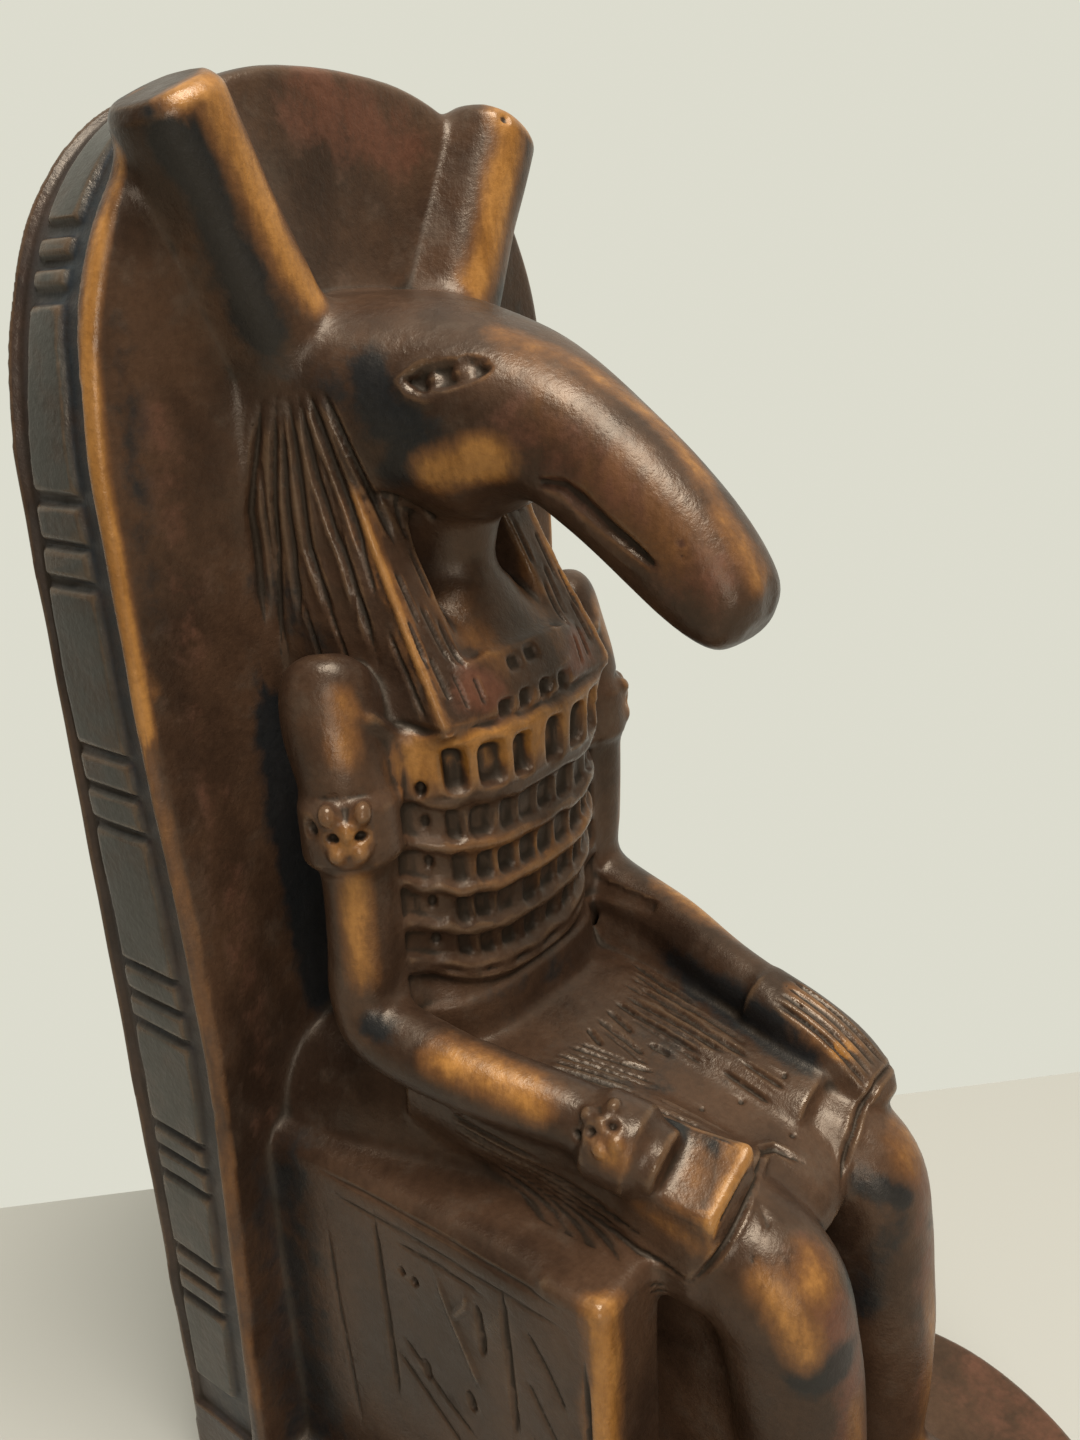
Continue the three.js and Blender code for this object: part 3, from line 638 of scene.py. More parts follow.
# Share of the raised blocks at each spot, and how squarely it faces out of the slab's edge
def blockShare(spots, ways):
    x, y, z = spots.T
    spread, rise = slab["half"], slab["top"] - slab["spring"]
    overX = (np.abs(x) / spread) ** slab["arch"]
    overZ = (np.clip(z - slab["spring"], 0, None) / rise) ** slab["arch"]
    outX = np.sign(x) * (np.abs(x) / spread) ** (slab["arch"] - 1) / spread
    outZ = (np.clip(z - slab["spring"], 0, None) / rise) ** (slab["arch"] - 1) / rise
    squarely = (ways[:, 0] * outX + ways[:, 2] * outZ) / np.hypot(outX, outZ)
    rim = rimAt(z)
    squarely = np.where((overX + overZ > 0.88) & (y > rim - 2), squarely, 0)
    turn = np.arctan2(overZ ** 0.5, overX ** 0.5) / math.pi
    edge = waver(z + np.abs(x), 9, 3) * 0.12
    block = np.zeros(len(spots))
    for low, high in straightBlocks:
        block = np.maximum(block, window(z + edge, low, high, 0.5) * (z < lastStraight))
    for low, high in archBlocks:
        block = np.maximum(block, window(turn, low, high, 0.003) * (z > lastStraight))
    rear = np.interp(z, blockRear["z"], blockRear["y"])
    return block * window(y + edge, rim + band["margin"], rear, 0.5), squarely


def carveBand(cast):
    picked = zone(cast, (-60, min(slabRim["y"]) - 2, band["bottom"] - 1), (60, band["rear"] + 2, 260))
    spots = cast["spots"][picked]
    block, squarely = blockShare(spots, cast["ways"][picked])
    ground = window(spots[:, 1], rimAt(spots[:, 2]), band["rear"], 0.5) * ramp(squarely, 0.55, 0.75)
    ground *= ramp(spots[:, 2], band["bottom"] - 0.3, band["bottom"] + 0.4)
    press(cast, picked, ground * (band["depth"] * (1 - block) + band["blockDepth"] * block))


# Net bodice: a ladder of gilt bars above four rows of small cells

net = dict(low=108.0, high=156.9, ground=0.75, pocket=2.0)
netRows = [  # height, height of a cell, how far its ends rise round the side, and the cells across
    dict(z=149.4, high=7.2, lift=1.2, wide=4.3, cells=(-18.6, -12.4, -5.6, 2.0, 8.7, 15.2, 21.4)),
    dict(z=139.6, high=4.9, lift=1.6, wide=3.5, cells=(-19.4, -13.6, -8.4, -3.2, 1.9, 7.2, 12.4, 17.6, 22.4)),
    dict(z=131.6, high=5.0, lift=2.0, wide=3.5, cells=(-18.8, -13.2, -8.2, -3.4, 1.4, 6.2, 11.2, 16.2, 21.0)),
    dict(z=123.8, high=4.9, lift=2.4, wide=3.6, cells=(-18.2, -13.4, -8.0, -2.6, 2.8, 7.8, 12.8, 18.0, 22.8)),
    dict(z=116.4, high=4.1, lift=2.8, wide=3.4, cells=(-18.4, -12.6, -6.8, -1.0, 4.8, 10.4, 15.8, 21.4)),
]
sideHoles = [(-21.6, 31.8, z) for z in (147.8, 141.8, 134.8, 127.6, 120.5)]
upperCells = [(-8.4, 157.7), (-3.7, 158.0), (1.4, 158.2), (6.4, 158.0), (-4.2, 163.6), (0.2, 164.0)]


def cell(across, rise, wide, high):
    share = ((np.abs(across) / (wide / 2)) ** 4 + (np.abs(rise) / (high / 2)) ** 4) ** 0.25
    return 1 - ramp(share, 0.72, 1.12)


def carveNet(cast):
    picked = zone(cast, (-25.6, 20, net["low"] - 3), (25.6, 34.5, 168), (0, -1, 0), -0.25)
    x, y, z = cast["spots"][picked].T
    across = np.sign(x) * (np.abs(x) + np.clip(y - torso["front"] - 3.2, 0, None))
    side = (across / 22) ** 2
    ground = net["ground"]
    height = -ground * ramp(z, net["low"], net["low"] + 1.2)
    height *= 1 - ramp(z - side, net["high"] - 0.6, net["high"] + 0.2)
    for i, row in enumerate(netRows):
        lower = netRows[i + 1] if i + 1 < len(netRows) else dict(z=108.6, high=4, lift=3.0)
        seam = (row["z"] - row["high"] / 2 + lower["z"] + lower["high"] / 2) / 2
        rib = z - seam - (row["lift"] + lower["lift"]) / 2 * side - waver(across, 11, 31 + i) * 0.5
        thick = 1.35 + waver(across, 6.5, 41 + i) * 0.45
        height = np.maximum(height, (0.45 + ground) * np.clip(1 - (rib / thick) ** 2, 0, 1) ** 0.6 - ground)
    level = z - netRows[0]["z"] - netRows[0]["lift"] * side + waver(across, 9, 5) * 0.25
    height = np.maximum(height, (0.6 + ground) * window(level, -5.0, 6.0, 0.9) - ground)
    collar, belt = z - 160.8 - waver(x, 12, 9) * 0.3, z - 110.4 - 3.2 * side
    for line, thick, proud, reach in ((collar, 1.1, 0.3, 9), (belt, 0.9, 0.45, 99)):
        ridge = (proud + ground) * np.clip(1 - (line / thick) ** 2, 0, 1) - ground
        height = np.where(np.abs(x) < reach, np.maximum(height, ridge), height)
    for i, row in enumerate(netRows):
        level = z - row["z"] - row["lift"] * side
        for j, place in enumerate(row["cells"]):
            turn = random.Random(100 * i + j)
            shift = turn.uniform(-0.3, 0.3) + level * turn.uniform(-0.02, 0.12)
            wide, high = row["wide"] * turn.uniform(0.98, 1.3), row["high"] * turn.uniform(1.0, 1.18)
            shape = cell(across - place + shift, level + turn.uniform(-0.2, 0.2), wide, high)
            height = height * (1 - shape) - net["pocket"] * turn.uniform(0.75, 1.1) * shape
    for place, level in upperCells:
        high = 3.0 if level < 160 else 2.4
        shape = cell(x - place, z - level, 3.1, high) * (0.95 if level < 160 else 0.6)
        height = height * (1 - shape) - 1.5 * shape
    press(cast, picked, np.maximum(-height, 0))
    lift(cast, picked, np.maximum(height, 0))
    for side in sides:
        for place in mirrored(sideHoles, side):
            hole(cast, place, (side, -0.6, 0), 1.0, 1.7, 1.5)
        strap = [(-30, 35.1, 161.5), (-27.2, 34.6, 159.5), (-22.9, 34.2, 155.5), (-22, 31.8, 152.9)]
        bead(cast, mirrored(strap, side), 3.4, 1.1, (side * 0.5, -0.8, 0.5), -0.2)


# Face

# Hollow along a line, as wide as its half widths say, with a steep edge
def hollow(cast, line, halves, depth, facing, steep=0.5, least=0.1):
    line = np.array(line, float)
    picked = zone(cast, line.min(axis=0) - 4, line.max(axis=0) + 4, facing, least)
    gap, share = gapToLine(cast["spots"][picked], line, facing)
    lengths = np.cumsum([0, *np.linalg.norm(np.diff(line, axis=0), axis=1)])
    half = np.interp(share, lengths / lengths[-1], halves)
    press(cast, picked, depth * (1 - ramp(gap / half, steep, 1.05)))


def carveFace(cast):
    for side in sides:
        facing = (side, -0.25, 0.25)
        eyeLine = [
            (-16, 33.4, 206.4), (-15.1, 31.4, 206.6), (-13.9, 28.4, 207.2), (-12.4, 25, 207.6),
            (-11.2, 22.8, 207.9),
        ]
        hollow(cast, mirrored(eyeLine, side), (0.3, 1.7, 2.2, 1.8, 0.5), 1.55, facing)
        lid = [
            (-12.8, 30.2, 210), (-15, 32.8, 208.4), (-16.8, 35, 206.6), (-16.6, 33.4, 204.6),
            (-15.6, 30.8, 203.5), (-14.6, 28, 203.9),
        ]
        bead(cast, mirrored(lid, side), 1.8, 0.45, facing)
        mouth = [
            (-10, 15.4, 192.6), (-9.7, 12, 192.2), (-9.4, 9.6, 190.6), (-9.2, 7.2, 188.7), (-9, 4.9, 187),
            (-8.9, 2.2, 185.3), (-8.8, -0.4, 183.6), (-8.6, -2.4, 182.2),
        ]
        mouthHalves = (0.6, 1.5, 1.8, 1.7, 1.5, 1.25, 0.9, 0.3)
        hollow(cast, mirrored(mouth, side), mouthHalves, 1.5, (side, 0, -0.1), 0.1)
    finishCarving(cast)
    cast = startCarving(cast["mesh"])
    for side in sides:
        facing = (side, -0.25, 0.25)
        chip, ball = mirrored([(-14.5, 30.2, 206.4), (-13, 26.1, 207.3)], side)
        lump(cast, chip, facing, 1.3, 0.9, 1.4, (0, 0.6, 1))
        lump(cast, ball, facing, 2.2, 1.1, 1.6, (0, -0.3, 1))
        stroke(cast, mirrored([(-12.6, 26.8, 208.6), (-13, 25.6, 206.4)], side), 0.7, 0.6, facing)
        stroke(cast, mirrored([(-12.4, 27, 209.2), (-10.6, 22.8, 208.7)], side), 1.0, 0.9, facing)
        stroke(cast, mirrored([(-15.6, 33, 206.2), (-14.8, 30.4, 205)], side), 0.9, 0.5, facing)
        lipLine = [(-9.6, 10.4, 187.0), (-9, 5.4, 183.8), (-8.6, 0.6, 181.2)]
        bead(cast, mirrored(lipLine, side), 1.6, 0.25, (side, 0, -0.3))
        stroke(cast, mirrored([(-7.7, -5.0, 186.2), (-7.9, -6.1, 185.2)], side), 0.9, 0.6, (side, 0, 0))
        stroke(cast, mirrored([(-8.1, -5.8, 184.4), (-8.2, -6, 183.4)], side), 0.8, 0.5, (side, 0, 0))
        jaw = [(-16.5, 44, 191.4), (-14.3, 39.2, 189.4), (-11.8, 37.2, 185.4), (-11.5, 36, 182.4)]
        stroke(cast, mirrored(jaw, side), 2.0, 0.8, (side, -0.3, -0.3))
    hole(cast, (0.6, -14.6, 177.6), (0, -1, -0.2), 2.2, 0.25, 3.2)
    hole(cast, (28.9, 48.4, 244.2), (0, -1, 0.1), 1.0, 1.1)
    return cast


# Masks on the armlets and bracelets

def carveMask(cast, place, facing, up, size, strength):
    front = unit(facing)
    across = unit(np.cross(up, front))
    rise = np.cross(front, across)

    def at(a, b):
        return np.array(place) + (across * a + rise * b) * size

    lump(cast, at(0, -0.3), facing, 4.6 * size, 1.0 * strength, 5.0 * size, up)
    for way in (-1, 1):
        lump(cast, at(way * 2.3, 3.6), facing, 1.5 * size, 1.9 * strength, 1.7 * size, up)
        lump(cast, at(way * 1.6, -2.2), facing, 1.5 * size, 1.6 * strength, 1.9 * size, up)
        hole(cast, at(way * 1.9, 0.5), facing, 1.0 * size, 2.3 * strength, 0.8 * size, up)
    outer = math.copysign(5.2, facing[0])
    hole(cast, at(outer, 1.2), facing, 0.9 * size, 1.6 * strength, 1.3 * size, up)
    lump(cast, at(0, 1.2), facing, 0.9 * size, 1.7 * strength, 2.2 * size, up)
    stroke(cast, [at(0, 5), at(0.1, 2.6)], 1.3 * size, 1.2 * strength, facing)
    stroke(cast, [at(0, -1.6), at(0, -4.6)], 0.9 * size, 0.7 * strength, facing)


def carveMasks(cast):
    for side in sides:
        high, low = mirrored([(-36.0, 33.2, 144.6), (-27.2, -4.2, 104.6)], side)
        carveMask(cast, high, (side * 0.72, -0.7, 0), (0, 0, 1), 1.0, 1.0 if side < 0 else 0.5)
        if side < 0:
            carveMask(cast, low, (side * 0.7, -0.1, 0.7), (side * -0.5, 0.6, 0.6), 0.85, 0.75)
        for gap in (139.4, 150.4):
            rim = [(-38.5, 38, gap), (-36.4, 33, gap), (-33, 30.2, gap)]
            stroke(cast, mirrored(rim, side), 1.2, 0.5, (side, -0.8, 0))


# Wig, kilt, throne, toe and finger lines

wigLines = [
    [(-23.7, 54.1, 205), (-25.3, 57.5, 188.5), (-24.4, 58.8, 169.8)],
    [(-22.6, 52.2, 205), (-24, 54.5, 188.5), (-23, 57.9, 165.6)],
    [(-22.4, 51.4, 203), (-23.2, 52.6, 190), (-22.7, 53.2, 170.1)],
    [(-22.2, 50.4, 205), (-22.1, 50.2, 182.7), (-21.7, 46.3, 170.4)],
    [(-21, 49.3, 204.9), (-21.2, 47.7, 193.2), (-20.5, 45.9, 185.4), (-21, 38.7, 166.3)],
    [(-20.2, 48.2, 206), (-19.6, 44.6, 193), (-18.9, 41, 180)],
]
crownLines = [[(-19.4, 46.8, 206), (-17, 43.4, 194.4), (-14.4, 39.1, 181.5)]]
fineWigLines = [
    [(-22, 49.6, 200), (-22.6, 50.4, 186), (-22, 48, 172)],
    [(-21.6, 47.4, 199), (-21, 44.6, 186), (-21.8, 42, 170)],
    [(-20.4, 46.4, 198), (-20, 43, 187), (-20.6, 38.4, 174)],
    [(-23.4, 55.8, 200), (-24.2, 56.6, 180), (-23.4, 56.4, 164)],
    [(-22.6, 48, 176), (-22.8, 44, 166), (-22.4, 40, 159)],
    [(-22.6, 52.6, 176), (-22.8, 50, 166), (-22.4, 48, 159)],
    [(-21.4, 37, 172), (-21.6, 32, 163), (-21.8, 29, 158)],
]
lappetLines = [
    [(-13.3, 42.9, 192.7), (-11.9, 39.3, 181.8)], [(-12.4, 39.6, 182.5), (-12.6, 35.3, 174.1)],
    [(-15.2, 35.6, 174.7), (-14.8, 30.9, 165.8)], [(-16.8, 38.4, 180), (-17, 34, 171.4)],
    [(-13.2, 34, 172), (-13, 30.4, 164)], [(-17.8, 32, 168), (-18, 28, 160.4)],
    [(-15.6, 30, 164.6), (-15.4, 27, 158.8)], [(-12.6, 29.6, 163.6), (-12.2, 27, 158.4)],
    [(-18.6, 35, 173), (-19, 31.4, 166)],
]
pleats = [
    [(-14.4, 17, 98), (-9.6, 2, 94)], [(-10.8, 18, 98.5), (-5, 1.2, 94.5)],
    [(-7.5, 17.6, 98.9), (-1, 3.4, 95.5)], [(-1.3, 17.7, 99), (-2.9, 13.3, 98)],
    [(1.9, 18.2, 99.1), (0.7, 6.6, 96.2)], [(5, 18.1, 99), (3.6, 11.1, 98)],
    [(3.4, 8.3, 97), (3.8, 3.8, 96)], [(7.7, 19.4, 99.3), (6.2, -1.4, 95.7)],
    [(9.9, 18.1, 99.7), (8.5, -4.7, 96.1)], [(13.8, 18.3, 99.8), (10.9, 0.2, 97.6)],
    [(19.2, 22.5, 99.5), (15.1, 5.3, 98.2)], [(16.6, 20.4, 99.6), (13.2, 4, 97.8)],
    [(11.6, 12, 98.4), (9.8, -8, 96)],
]
finePleats = [  # start and end over the lap, fanning out to each side of it
    [(12.4, 20, 99.2), (11.8, 6, 97.4)], [(14.8, 20, 99.4), (14.2, 8, 98)],
    [(15.6, 16, 98.8), (12.2, -6, 96.8)], [(17.8, 21, 99.4), (15.8, 10, 98.2)],
    [(8.8, 16, 98.4), (7.6, 0, 96)], [(6.4, 15, 98.2), (5.2, -2, 95.6)], [(-12.6, 18, 98.2), (-8.4, 4, 95)],
    [(-9.2, 17, 98.4), (-3.2, 2, 95)], [(-5.4, 17, 98.6), (-2.4, 8, 96.6)],
    [(-16.2, 16, 97), (-12.8, 0, 93.4)], [(-14.6, 6, 95), (-12, -8, 92.4)],
    [(-11.6, 2, 94.4), (-9, -10, 92)], [(-8, 0, 94.4), (-6, -12, 91.6)], [(0.4, 16, 98.4), (-0.8, 5, 96)],
    [(6, -4, 95), (5, -14, 92.6)], [(8.8, -6, 95.4), (7.6, -15, 93)],
]
kiltPits = [(3, -9.7, 93), (9.8, -13.8, 95.4), (2.6, -18.9, 90.4), (-3, -6, 94)]
flankLines = [  # y and z on the outside of the thigh
    [(22.5, 94.6), (6.6, 90.6), (-10.7, 87.6)], [(22.5, 92.6), (6.6, 88.4), (-10.7, 85.5), (-20, 83)],
    [(19.6, 90.2), (4.7, 86.2), (-11, 82.8)], [(14.5, 86.4), (-0.5, 83.6), (-14.4, 80.4)],
    [(24, 97), (8, 93.4)], [(24, 95.6), (8, 91.8), (-6, 89)], [(23, 93.6), (8, 89.8), (-8, 86.7)],
    [(21, 91.4), (6, 87.4), (-10, 84.2)], [(18, 88.4), (2, 84.8), (-12, 81.6)],
    [(10, 84.6), (-4, 81.6), (-14, 79)],
]
hemLines = [
    [
        (-25.3, -14.5, 79.4), (-24.8, -18.2, 85), (-22.2, -20.8, 90), (-14, -21.5, 95), (-6, -19, 94),
        (-2, -18, 91), (2, -22, 86),
    ],
    [
        (2, -24.5, 81), (5, -25, 84.5), (8, -25.2, 88), (12, -25.4, 91), (18, -24, 92), (24.5, -20, 87),
        (25.3, -15, 79.4),
    ],
]
throneLines = [  # y and z on the side of the throne, width and depth
    ([(33, 81), (32.6, 62), (31.4, 40)], 1.1, 0.9), ([(6.6, 81), (6, 66), (5.4, 50)], 1.3, 1.0),
    ([(-8.3, 78), (-8.4, 50), (-8.4, 14)], 1.4, 0.8), ([(11.9, 74.8), (11.1, 68), (11.4, 63.4)], 1.4, 1.1),
    ([(24.4, 55.4), (23.8, 51)], 1.6, 1.2), ([(15, 54.8), (14.2, 50.4)], 1.6, 1.2),
    ([(30, 58), (21, 50), (13.4, 44.4)], 1.0, 0.5), ([(32, 54), (24, 47), (16, 40)], 1.0, 0.5),
    ([(48, 82.6), (20, 83.2), (-7, 82.4)], 0.9, 0.4), ([(46, 79.4), (20, 80), (-7, 79)], 0.9, 0.35),
    ([(3, 76), (-1, 70), (-5, 62)], 1.0, 0.4), ([(3.4, 66), (0, 60), (-5, 52)], 1.0, 0.35),
    ([(3, 55), (-1, 48), (-5, 40)], 1.0, 0.35), ([(45, 74), (44, 50), (42, 26)], 1.2, 0.4),
    ([(29, 77), (19, 77.4), (9, 76.6)], 0.9, 0.4),
]
throneHoles = [(27.7, 71.6), (24.9, 71)]
throneStems = [
    [(20.4, 76), (18.4, 71), (17.2, 68), (14.6, 62.4), (11.8, 56)],
    [(17.3, 68.4), (14.2, 72.4), (13.8, 75.4)],
]


# Width and depth of each kind of groove
wigCut = dict(line=(1.5, 0.85), crown=(1.2, 0.8), lappet=(0.9, 0.5), fine=(0.9, 0.45))
kiltCut = dict(pleat=(1.15, 0.72), fine=(0.95, 0.5), flank=(1.0, 0.55), hem=(1.2, 0.6))
limbCut = dict(toe=(1.0, 0.7), fist=(0.8, 0.35), finger=(1.0, 0.7))


def carveWig(cast):
    for side in sides:
        for i, line in enumerate(wigLines):
            lip = 0.3 if i > 2 else 0.16  # prouder near the face
            stroke(cast, mirrored(line, side), *wigCut["line"], (side, -0.4, 0), lip)
        for line in crownLines:
            stroke(cast, mirrored(line, side), *wigCut["crown"], (side, -0.9, 0), 0.25)
        for line in lappetLines:
            stroke(cast, mirrored(line, side), *wigCut["lappet"], (side * 0.2, -1, 0.2), 0.12)
        ridge = [(-18.8, 42.6, 190), (-18.6, 40.6, 184), (-19.5, 34.6, 172), (-21.4, 26, 157.6)]
        bead(cast, mirrored(ridge, side), 1.6, 0.6, (side, -1, 0))
        for line in fineWigLines:
            stroke(cast, mirrored(line, side), *wigCut["fine"], (side, -0.5, 0), 0.15)


def carveKilt(cast):
    for line in pleats:
        stroke(cast, line, *kiltCut["pleat"], (0, -0.2, 1), 0.16)
    for line in finePleats:
        stroke(cast, line, *kiltCut["fine"], (0, -0.2, 1), 0.14)
    for place in kiltPits:
        hole(cast, place, (0, -0.2, 1), 0.6, 0.6)
    for side in sides:
        for line in flankLines:
            flank = [(side * kilt["half"], y, z) for y, z in line]
            stroke(cast, flank, *kiltCut["flank"], (side, 0, 0.25), 0.15, 0.1)
    for line in hemLines:
        stroke(cast, line, *kiltCut["hem"], (line[0][0] * 0.02, -0.6, 0.7), 0.25, -0.2)


def carveThrone(cast):
    for side in sides:
        facing = (side, 0, 0)

        def onSide(pairs):
            return [(side * throne["half"], y, z) for y, z in pairs]

        for line, width, depth in throneLines:
            stroke(cast, onSide(line), width, depth, facing)
        for place in onSide(throneHoles):
            hole(cast, place, facing, 0.7, 1.1, 0.9)
        for line in throneStems:
            bead(cast, onSide(line), 2.0, 0.45, facing)


def carveToes(cast):
    for side in sides:
        for x in (-7.4, -2.4, 2.6, 7.4):
            toe = [(side * (15.6 + x * 0.55), -61, 23), (side * (15.6 + x * 0.6), -69, 17)]
            stroke(cast, toe, *limbCut["toe"], (0, -0.7, 0.7))


# Finger lines over the front of the near fist and along the flat far hand
def carveFingers(cast):
    for z in (93.6, 96.4, 99.0):
        stroke(cast, [(-14.5, -21, z - 1), (-24, -21, z - 6)], *limbCut["fist"], (0, -1, 0))
    for x in (16.6, 18.6, 20.8, 23):
        finger = [(x + 0.6, -7, 103), (x, -17, 100), (x - 0.4, -26, 93)]
        stroke(cast, finger, *limbCut["finger"], (-0.2, -0.3, 1), 0.15)


# Wear, tone and painted light: soft places where the gilding shows, where the red wash lies, and dark places
# that are partly a blue-black wash and partly painted shade; one amber mark on the chest is painted light.
# Most lie on both sides and are given on the near one. The others are given where they lie.

both, once = (-1, 1), (-1,)
gildingAndLight = dict(  # line, reach in mm, strength and sides
    earTop=([(-27.5, 49, 246.6), (-36.5, 49, 242.8)], 2.8, 1.0, both),
    earFront=(
        [(-29.4, 49.4, 244), (-29.2, 48.5, 239.8), (-26.2, 48.8, 234), (-21.4, 48.5, 223),
         (-17.9, 48.9, 219)],
        4.0, 1.0, both,
    ),
    rimUpper=(
        [(-33, 60.6, 243), (-42, 60.4, 231), (-47.6, 60.2, 214), (-49.2, 59.6, 196), (-49.2, 58.4, 160)],
        1.7, 1.05, both,
    ),
    rimLower=(
        [(-49.2, 58.4, 160), (-48.8, 56.4, 131), (-48.8, 55, 104), (-48.8, 57, 76), (-49.2, 59, 30)],
        1.6, 0.42, both,
    ),
    cheek=([(-13.6, 31, 194.6), (-12.4, 22, 195.8)], 3.8, 1.1, both),
    snoutTop=([(-5.5, 25, 212), (-1, 14, 206.6), (2, 5, 200.8), (0.5, -3, 193.8)], 3.4, 0.62, once),
    snoutTip=([(0.5, -3, 193.8), (-2.3, -9.3, 187.4), (-1.4, -13.6, 181)], 3.6, 0.6, once),
    shoulder=([(-32.5, 34.6, 163.8), (-34.2, 33.4, 157)], 3.6, 0.85, both),
    armletMask=([(-36.0, 33.2, 144.8)], 4.8, 0.75, both),
    upperArm=([(-35.2, 34, 136.5), (-35, 34.3, 120)], 3.2, 0.85, both),
    forearm=([(-31.6, 22, 109.6), (-30, 14, 108.8), (-28.6, 6.4, 106)], 4.2, 0.85, both),
    braceletMask=([(-28.4, -5.9, 102.6)], 3.2, 0.8, both),
    handBack=([(-17.4, -14, 99.5), (-23, -15, 96)], 4.6, 0.46, both),
    handFront=([(-14.3, -20.4, 100.3), (-24.4, -20.2, 94.4)], 1.7, 1.3, both),
    handSide=([(-24.8, -9, 93), (-25.4, -19.5, 90)], 2.4, 0.6, both),
    knee=([(-16.9, -32.3, 85.4)], 6.4, 0.72, both),
    kneeSide=([(-21.5, -27.6, 85.9), (-21.5, -33.5, 77.4)], 4.4, 0.75, both),
    shin=([(-15, -40.4, 64), (-14.6, -40, 26)], 4.0, 0.7, both),
    throneCorner=([(-38.4, -11.4, 85), (-38.6, -11.4, 66), (-38.6, -11.4, 20)], 3.4, 1.05, both),
    ladderNear=([(-22.4, 30.5, 152), (-17, 26.4, 152.5), (-9, 25, 152), (0, 24.6, 152)], 4.8, 1.2, once),
    # Painted light: amber over the neck and chest, lighter as where light falls on them from below and the
    # side; not gilt
    chest=([(-11, 33, 178), (-8, 34, 170), (-7, 29, 164)], 6.0, 0.45, both),
    farEar=([(34, 52, 238), (27, 52, 222)], 7.0, 0.45, once),
    snoutSide=([(-6, 20, 208), (-6, 6, 196), (-6, -6, 184)], 8.0, 0.4, once),
    farShin=([(18, -38, 78), (16, -40, 30)], 7.0, 0.4, once),
    ladderFar=([(0, 24.6, 152), (10, 25, 152), (19, 27, 152.5), (23.6, 31, 152)], 4.6, 0.7, once),
    netMiddle=([(-13, 26, 134), (6, 25, 128), (16, 26.5, 129)], 6.5, 0.5, once),
    lappetRidge=(
        [(-18.8, 42.6, 190), (-18.6, 40.6, 184), (-19.5, 34.6, 172), (-21.4, 26, 158.6)],
        1.9, 0.7, both,
    ),
    farKnuckles=([(21.1, -9.3, 103.4), (21, -14, 101.4)], 2.6, 0.6, once),
    toes=([(-14, -62, 20), (-15.6, -66, 18)], 4.0, 0.7, both),
)
# Dark marks: earSide, behindEye and slabEdge are the statue's blue-black wash; the marks noted below are
# painted shade; temple, waist, elbow, lap and wigEnd are simply darker places
darkWashAndShade = dict(
    earSide=([(-37.5, 49, 240), (-34.8, 48.6, 230), (-29.9, 48.6, 221), (-27, 50, 214)], 5.0, 1.0, both),
    behindEye=(
        [(-18.4, 38.5, 208), (-17.6, 36, 203), (-16, 31.7, 198.5), (-15.6, 36, 194)],
        4.2, 0.85, both,
    ),
    slabEdge=([(-43, 58.5, 215), (-44.9, 58.5, 190), (-44.5, 58.5, 176)], 3.4, 0.45, both),
    # Painted shade in the crease between the far arm and the lap, and between and below the knees
    farArmCrease=([(24, 14, 102), (20.3, 8.1, 100.5), (13.7, -14.6, 98.5)], 4.0, 1.0, both),
    betweenKnees=([(7.2, -28.4, 83.6), (9.9, -34, 80.5), (6, -30, 60)], 3.6, 0.7, both),
    belowKnee=([(-15, -40, 74), (-22.9, -34, 72.4)], 3.6, 0.95, both),
    # Painted shadow of the arm on the slab
    slabBehindArm=([(-25.4, 58.5, 156), (-25, 58.5, 132), (-22.6, 58.5, 104)], 4.6, 1.2, both),
    # Painted shade behind the arm and along its back
    armRear=([(-30, 47, 158), (-29, 50, 140), (-28, 46, 112)], 5.0, 1.2, both),
    armBack=([(-35.6, 45, 152), (-35.4, 44.4, 118)], 3.0, 0.5, both),
    temple=([(-27, 50, 214), (-22.6, 44, 206), (-19, 38, 200)], 6.0, 0.5, both),
    waist=([(-12, 26, 106), (8, 25, 105)], 6.0, 0.42, once),
    # Painted shade, darker towards the bottom: the rear of the throne's side and the slab's foot
    throneRear=([(-39.5, 54, 78), (-39.5, 54, 20)], 10.0, 0.6, both),
    slabFoot=([(-34, 58.5, 60), (-36, 58.5, 24)], 6.0, 0.4, both),
    elbow=([(-34.6, 34, 112.6), (-32, 31, 109)], 3.0, 0.8, both),
    lap=([(-10, 10, 96), (4, 4, 95)], 12.0, 0.42, once),
    wigEnd=([(-25, 54, 176), (-23, 46, 159)], 7.0, 0.5, both),
)
slating = dict(  # blue-black in the channel of the band
    channel=(
        [(-50, 68, 24), (-50, 68, 190), (-47, 68, 220), (-34, 68, 243), (-12, 68, 250)],
        11.0, 1.0, both,
    ),
)
reddening = dict(
    slabTop=([(-6, 58.5, 246), (13, 58.5, 241)], 8.0, 0.9, once),
    slabFace=(
        [(-38.7, 58.5, 205), (-39.4, 58.5, 162), (-40, 58.5, 100), (-41, 58.5, 40)],
        6.5, 0.42, both,
    ),
    collarEnds=([(-13.5, 27.9, 161.6), (-10.8, 26.4, 159.4)], 5.0, 0.9, both),
    farShin=([(17.7, -32.4, 86), (16, -38, 70), (15, -38, 40)], 6.0, 0.8, both),
    base=([(44, -42, 16.5), (30, -66, 16.5)], 18.0, 0.6, both),
    snoutUnder=([(-8, 20, 200), (-6, 5, 192), (-5, -8, 180)], 7.0, 0.7, both),
    armWeb=([(-30, 30, 125)], 8.0, 0.4, both),
    slabBack=([(20, 60, 20), (0, 79, 120), (0, 79, 200)], 30.0, 0.4, both),
)


